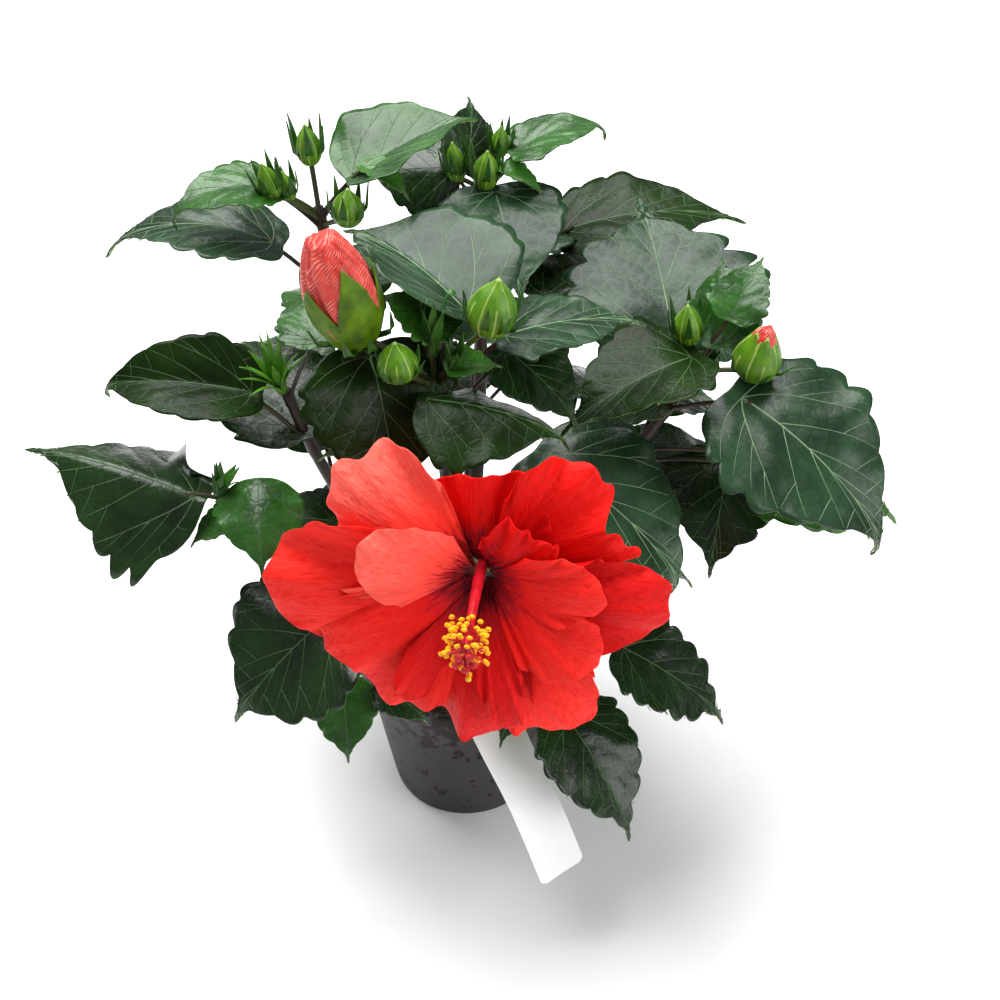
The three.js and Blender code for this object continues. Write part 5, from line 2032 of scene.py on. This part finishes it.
@dataclass
class Pot:
    """The thin nursery pot with its lip, its drain holes, and the peat in it."""

    height: float = 92
    rim: float = 52.5
    base: float = 37.5
    wall: float = 1.6
    lip_height: float = 9
    lip_depth: float = 2
    floor: float = 2.5
    holes: int = 8
    hole_radius: float = 3.5
    hole_circle: float = 27
    sides: int = 144
    crease_angle: float = 50
    peat_edge: float = 82
    peat_top: float = 84.2
    peat_deep: float = 8
    peat_grid: tuple[int, int] = (46, 180)
    crumbs: int = 760
    crumbs_to_perlite: int = 19

    def radius(self, z: float) -> float:
        """Give the outer radius of the wall at a height."""
        return self.base + (self.rim - self.lip_depth - self.base) * z / self.height

    def build_shell(self, materials: Materials) -> None:
        """Turn the pot's section, with soft edges, and cut the drain holes.

        Args:
            materials: the plastic.
        """
        lip, top = self.height - self.lip_height, self.radius(self.height) - self.wall
        outside = [(12, 0), (24, 0), (30.5, 0)]
        outside += [(self.base - 1.2, 0), (self.base - 0.3, 0.3), (self.base, 1.2)]
        outside += [(self.radius(z), z) for z in (6, 20, 40, 60, lip - 1.2)]
        outside += [(self.radius(lip) + 0.3, lip - 0.3), (self.rim - 0.6, lip + 0.3), (self.rim, lip + 1)]
        for inset, drop in ((0, 2.4), (0.25, 1), (0.9, 0.25), (1.6, 0)):
            outside.append((self.rim - inset, self.height - drop))
        inside = [(top + 0.5, self.height - 0.1), (top, self.height - 0.7)]
        inside += [(self.radius(z) - self.wall, z) for z in (60, 30)]
        inside += [(self.radius(self.floor) - self.wall, self.floor + 1)]
        inside += [(self.radius(0) - self.wall - 1.5, self.floor), (24, self.floor), (12, self.floor)]
        radius, height = np.array([(2.0, 0), *outside, *inside, (2.0, self.floor)]).T[..., None]
        angle = angles_round(self.sides)
        height = np.repeat(height, self.sides, 1)
        points = np.stack([radius * np.cos(angle), radius * np.sin(angle), height], -1)
        work = Patchwork()
        work.add(points)
        shell = work.build("nursery_pot", materials)
        drills = Patchwork()
        for i in range(self.holes):
            turn = math.tau * i / self.holes
            x, y = self.hole_circle * math.cos(turn), self.hole_circle * math.sin(turn)
            path = np.array([[x, y, -3.0], [x, y, 1.0], [x, y, 6.0]])
            drills.add(tube(path, np.full(3, self.hole_radius), 24))
        drill = drills.build("drill", materials)
        cut = shell.modifiers.new("drain holes", "BOOLEAN")
        cut.object, cut.operation, cut.solver = drill, "DIFFERENCE", "EXACT"
        bake_modifiers(shell)
        bpy.data.objects.remove(drill)
        shell.data.set_sharp_from_angle(angle=math.radians(self.crease_angle))
        finish_object(shell, "pot_plastic", "pot")

    def build_peat(self, materials: Materials) -> None:
        """Heap the peat, with crumbs and a few grains of perlite on it.

        Args:
            materials: the peat and the perlite.
        """
        rng = np.random.default_rng(SEED)
        rings, sides = self.peat_grid
        share = np.linspace(0.02, 1, rings)[:, None]
        edge = self.radius(self.peat_edge) - self.wall - 0.3
        fall = self.peat_edge - self.peat_top
        angle = angles_round(sides)
        ring = np.stack([np.cos(angle), np.sin(angle)], -1)
        x, y = share * edge * ring[:, 0], share * edge * ring[:, 1]
        rough = 0.5 * np.sin(0.31 * x + 1.2 * np.sin(0.23 * y)) * np.sin(0.27 * y + 0.4)
        rough += 0.35 * np.sin(1.1 * x + 0.8 * y) * np.sin(0.9 * y - 0.7 * x)
        z = self.peat_top - 1.2 + fall * share**2 + rough + rng.normal(0, 0.16, x.shape)
        base = np.full((sides, 1), self.peat_edge - self.peat_deep)
        foot, inner = (np.concatenate([reach * edge * ring, base], 1)[None] for reach in (1, 0.3))
        work = Patchwork()
        work.add(np.concatenate([np.stack([x, y, z], -1), foot, inner]), 0)
        for i in range(self.crumbs):
            spot = math.sqrt(rng.random()) * (edge - 1.5)
            turn = rng.random() * math.tau
            size = 0.5 + 1.3 * rng.random() ** 2
            level = self.peat_top - 0.9 + fall * (spot / edge) ** 2 + 0.35 * size
            centre = np.array([spot * math.cos(turn), spot * math.sin(turn), level])
            crumb = bead(centre, size, size * (0.8 + rng.random()), unit(rng.normal(size=3)), 4, 6)
            work.add(crumb, 1 if i % self.crumbs_to_perlite == 0 else 0)
        finish_object(work.build("peat", materials), "potting_soil", "soil")


@dataclass
class Label:
    """The blank strip of card stuck in the peat, bent over the rim."""

    points: tuple[Place, ...] = ((7, -36, 64), (9, -42, 98), (17, -62, 94), (34, -84, 67), (46, -100, 42))
    width: float = 24
    thick: float = 0.6
    corner: float = 2.5
    hollow: float = 0.5
    crease_angle: float = 50
    rows: int = 90
    columns: int = 13

    def centreline(self) -> Array:
        """Run a smooth curve through the points, with knots spaced by the root of their distance.

        Returns:
            Points at even steps.
        """
        knots = [np.array(p, float) for p in self.points]
        knots = [2 * knots[0] - knots[1], *knots, 2 * knots[-1] - knots[-2]]
        path = []
        for a, b, c, d in zip(knots, knots[1:], knots[2:], knots[3:]):
            legs = ((a, b), (b, c), (c, d))
            t = np.cumsum([0, *(np.linalg.norm(q - p) ** 0.5 for p, q in legs)])
            for s in np.linspace(t[1], t[2], 24, endpoint=False):
                one = [p + (q - p) * (s - t[i]) / (t[i + 1] - t[i]) for i, (p, q) in enumerate(legs)]
                two = [one[i] + (one[i + 1] - one[i]) * (s - t[i]) / (t[i + 2] - t[i]) for i in (0, 1)]
                path.append(two[0] + (two[1] - two[0]) * (s - t[1]) / (t[2] - t[1]))
        return evened(np.array([*path, knots[-2]]), self.rows)

    def build(self, materials: Materials) -> None:
        """Bend the strip along its curve, a little hollow from side to side, with rounded corners.

        Args:
            materials: the card.
        """
        path = self.centreline()
        tangent = unit(np.gradient(path, axis=0))
        side = unit(np.stack([tangent[:, 1], -tangent[:, 0], 0 * tangent[:, 0]], -1))
        side[: self.rows // 4] = side[self.rows // 4]
        normal = unit(np.cross(side, tangent))
        across = np.linspace(-1, 1, self.columns)
        run = np.linspace(0, 1, self.rows)
        length = float(step_lengths(path).sum())
        left_over = np.maximum(self.corner - (1 - run) * length, 0)
        half = self.width / 2 - (self.corner - np.sqrt(np.maximum(self.corner**2 - left_over**2, 0)))
        sag = -self.hollow * (1 - across[None, :] ** 2) * smooth(0.3, 0.7, run)[:, None]
        strip = path[:, None] + side[:, None] * (across[None, :] * half[:, None])[..., None]
        strip = strip + normal[:, None] * sag[..., None]
        work = Patchwork()
        work.add(sheet(*(strip + normal[:, None] * s * self.thick / 2 for s in (1, -1))))
        made = work.build("plant_label", materials)
        made.data.set_sharp_from_angle(angle=math.radians(self.crease_angle))
        finish_object(made, "label_plastic", "label")


# ---------- Studio ----------


@dataclass(frozen=True)
class Panel:
    """A square light panel: its place, what it faces and its size in metres, and its power in watts."""

    name: str
    at: Place
    size: float
    power: float
    faces: Place = (0.0, 0.0, 0.15)

    def hang(self) -> None:
        """Hang the panel in the studio."""
        light = bpy.data.lights.new(self.name, "AREA")
        light.shape, light.size, light.energy = "SQUARE", self.size, self.power
        made = bpy.data.objects.new(self.name, light)
        made.location = self.at
        made.rotation_euler = (Vector(self.faces) - Vector(self.at)).to_track_quat("-Z", "Y").to_euler()
        bpy.context.scene.collection.objects.link(made)


# Background paper: matt and nearly white, so the floor stays plain under the plant.
PAPER = Finish("floor, white paper", "#fbfbfb", "#f8f8f8", 900, 60, 0.0, (0.85, 0.9))


@dataclass
class Studio:
    """A pale floor, soft light from a wide sky panel, and the camera that looks down at the plant."""

    camera_at: Place = (17.4, -458.0, 576.7)
    look_down: float = 41.0
    lens: float = 49.36
    sensor: float = 36.0
    floor: float = 6000.0
    sky: str = "#f4f7fb"
    sky_strength: float = 0.26
    panels: tuple[Panel, ...] = (
        Panel("sky_panel", (-0.35, 0.6, 1.95), 1.9, 92),
        Panel("side_panel", (1.5, -1.0, 0.95), 1.3, 22),
    )

    def build(self) -> None:
        """Build the floor, the lights, the sky and the camera."""
        scene = bpy.context.scene
        mesh = bpy.data.meshes.new("studio_floor")
        half = self.floor * MM / 2
        corners = [(-half, -half, 0), (half, -half, 0), (half, half, 0), (-half, half, 0)]
        mesh.from_pydata(corners, [], [(0, 1, 2, 3)])
        mesh.materials.append(PAPER.build())
        floor = bpy.data.objects.new("studio_floor", mesh)
        scene.collection.objects.link(floor)
        for panel in self.panels:
            panel.hang()
        scene.world = bpy.data.worlds.new("studio_sky")
        scene.world.use_nodes = True
        background = scene.world.node_tree.nodes["Background"]
        background.inputs["Color"].default_value = linear(self.sky)
        background.inputs["Strength"].default_value = self.sky_strength
        # Plain sRGB, so that each finish shows the colour that its hex value names.
        scene.view_settings.view_transform = "Standard"
        camera = bpy.data.objects.new("camera", bpy.data.cameras.new("camera"))
        camera.data.lens = self.lens
        camera.data.sensor_width = self.sensor
        camera.location = Vector(self.camera_at) * MM
        camera.rotation_euler = Euler((math.radians(90 - self.look_down), 0, 0))
        scene.collection.objects.link(camera)
        scene.camera = camera


def main() -> None:
    """Build the pot, the label, the wood, the foliage, the bloom and the studio in turn."""
    logging.basicConfig(level=logging.INFO, format="%(message)s")
    buds = [BUD_FINISHES[part].build() for part in BudPart]
    pot = Pot()
    pot.build_shell([POT_PLASTIC.build()])
    pot.build_peat([finish.build() for finish in PEAT_FINISHES])
    Label().build([CARD.build()])
    Wood().build([BARK.build()])
    leaves = [LEAF_FINISHES[tone].build() for tone in Tone]
    Foliage().build(leaves, buds, [finish.build() for finish in STALK_FINISHES])
    petals = [PETAL_FINISHES[shade].build() for shade in Shade]
    Bloom().build(petals, [finish.build() for finish in COLUMN_FINISHES], buds)
    Studio().build()

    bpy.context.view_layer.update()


if __name__ == "__main__":
    main()
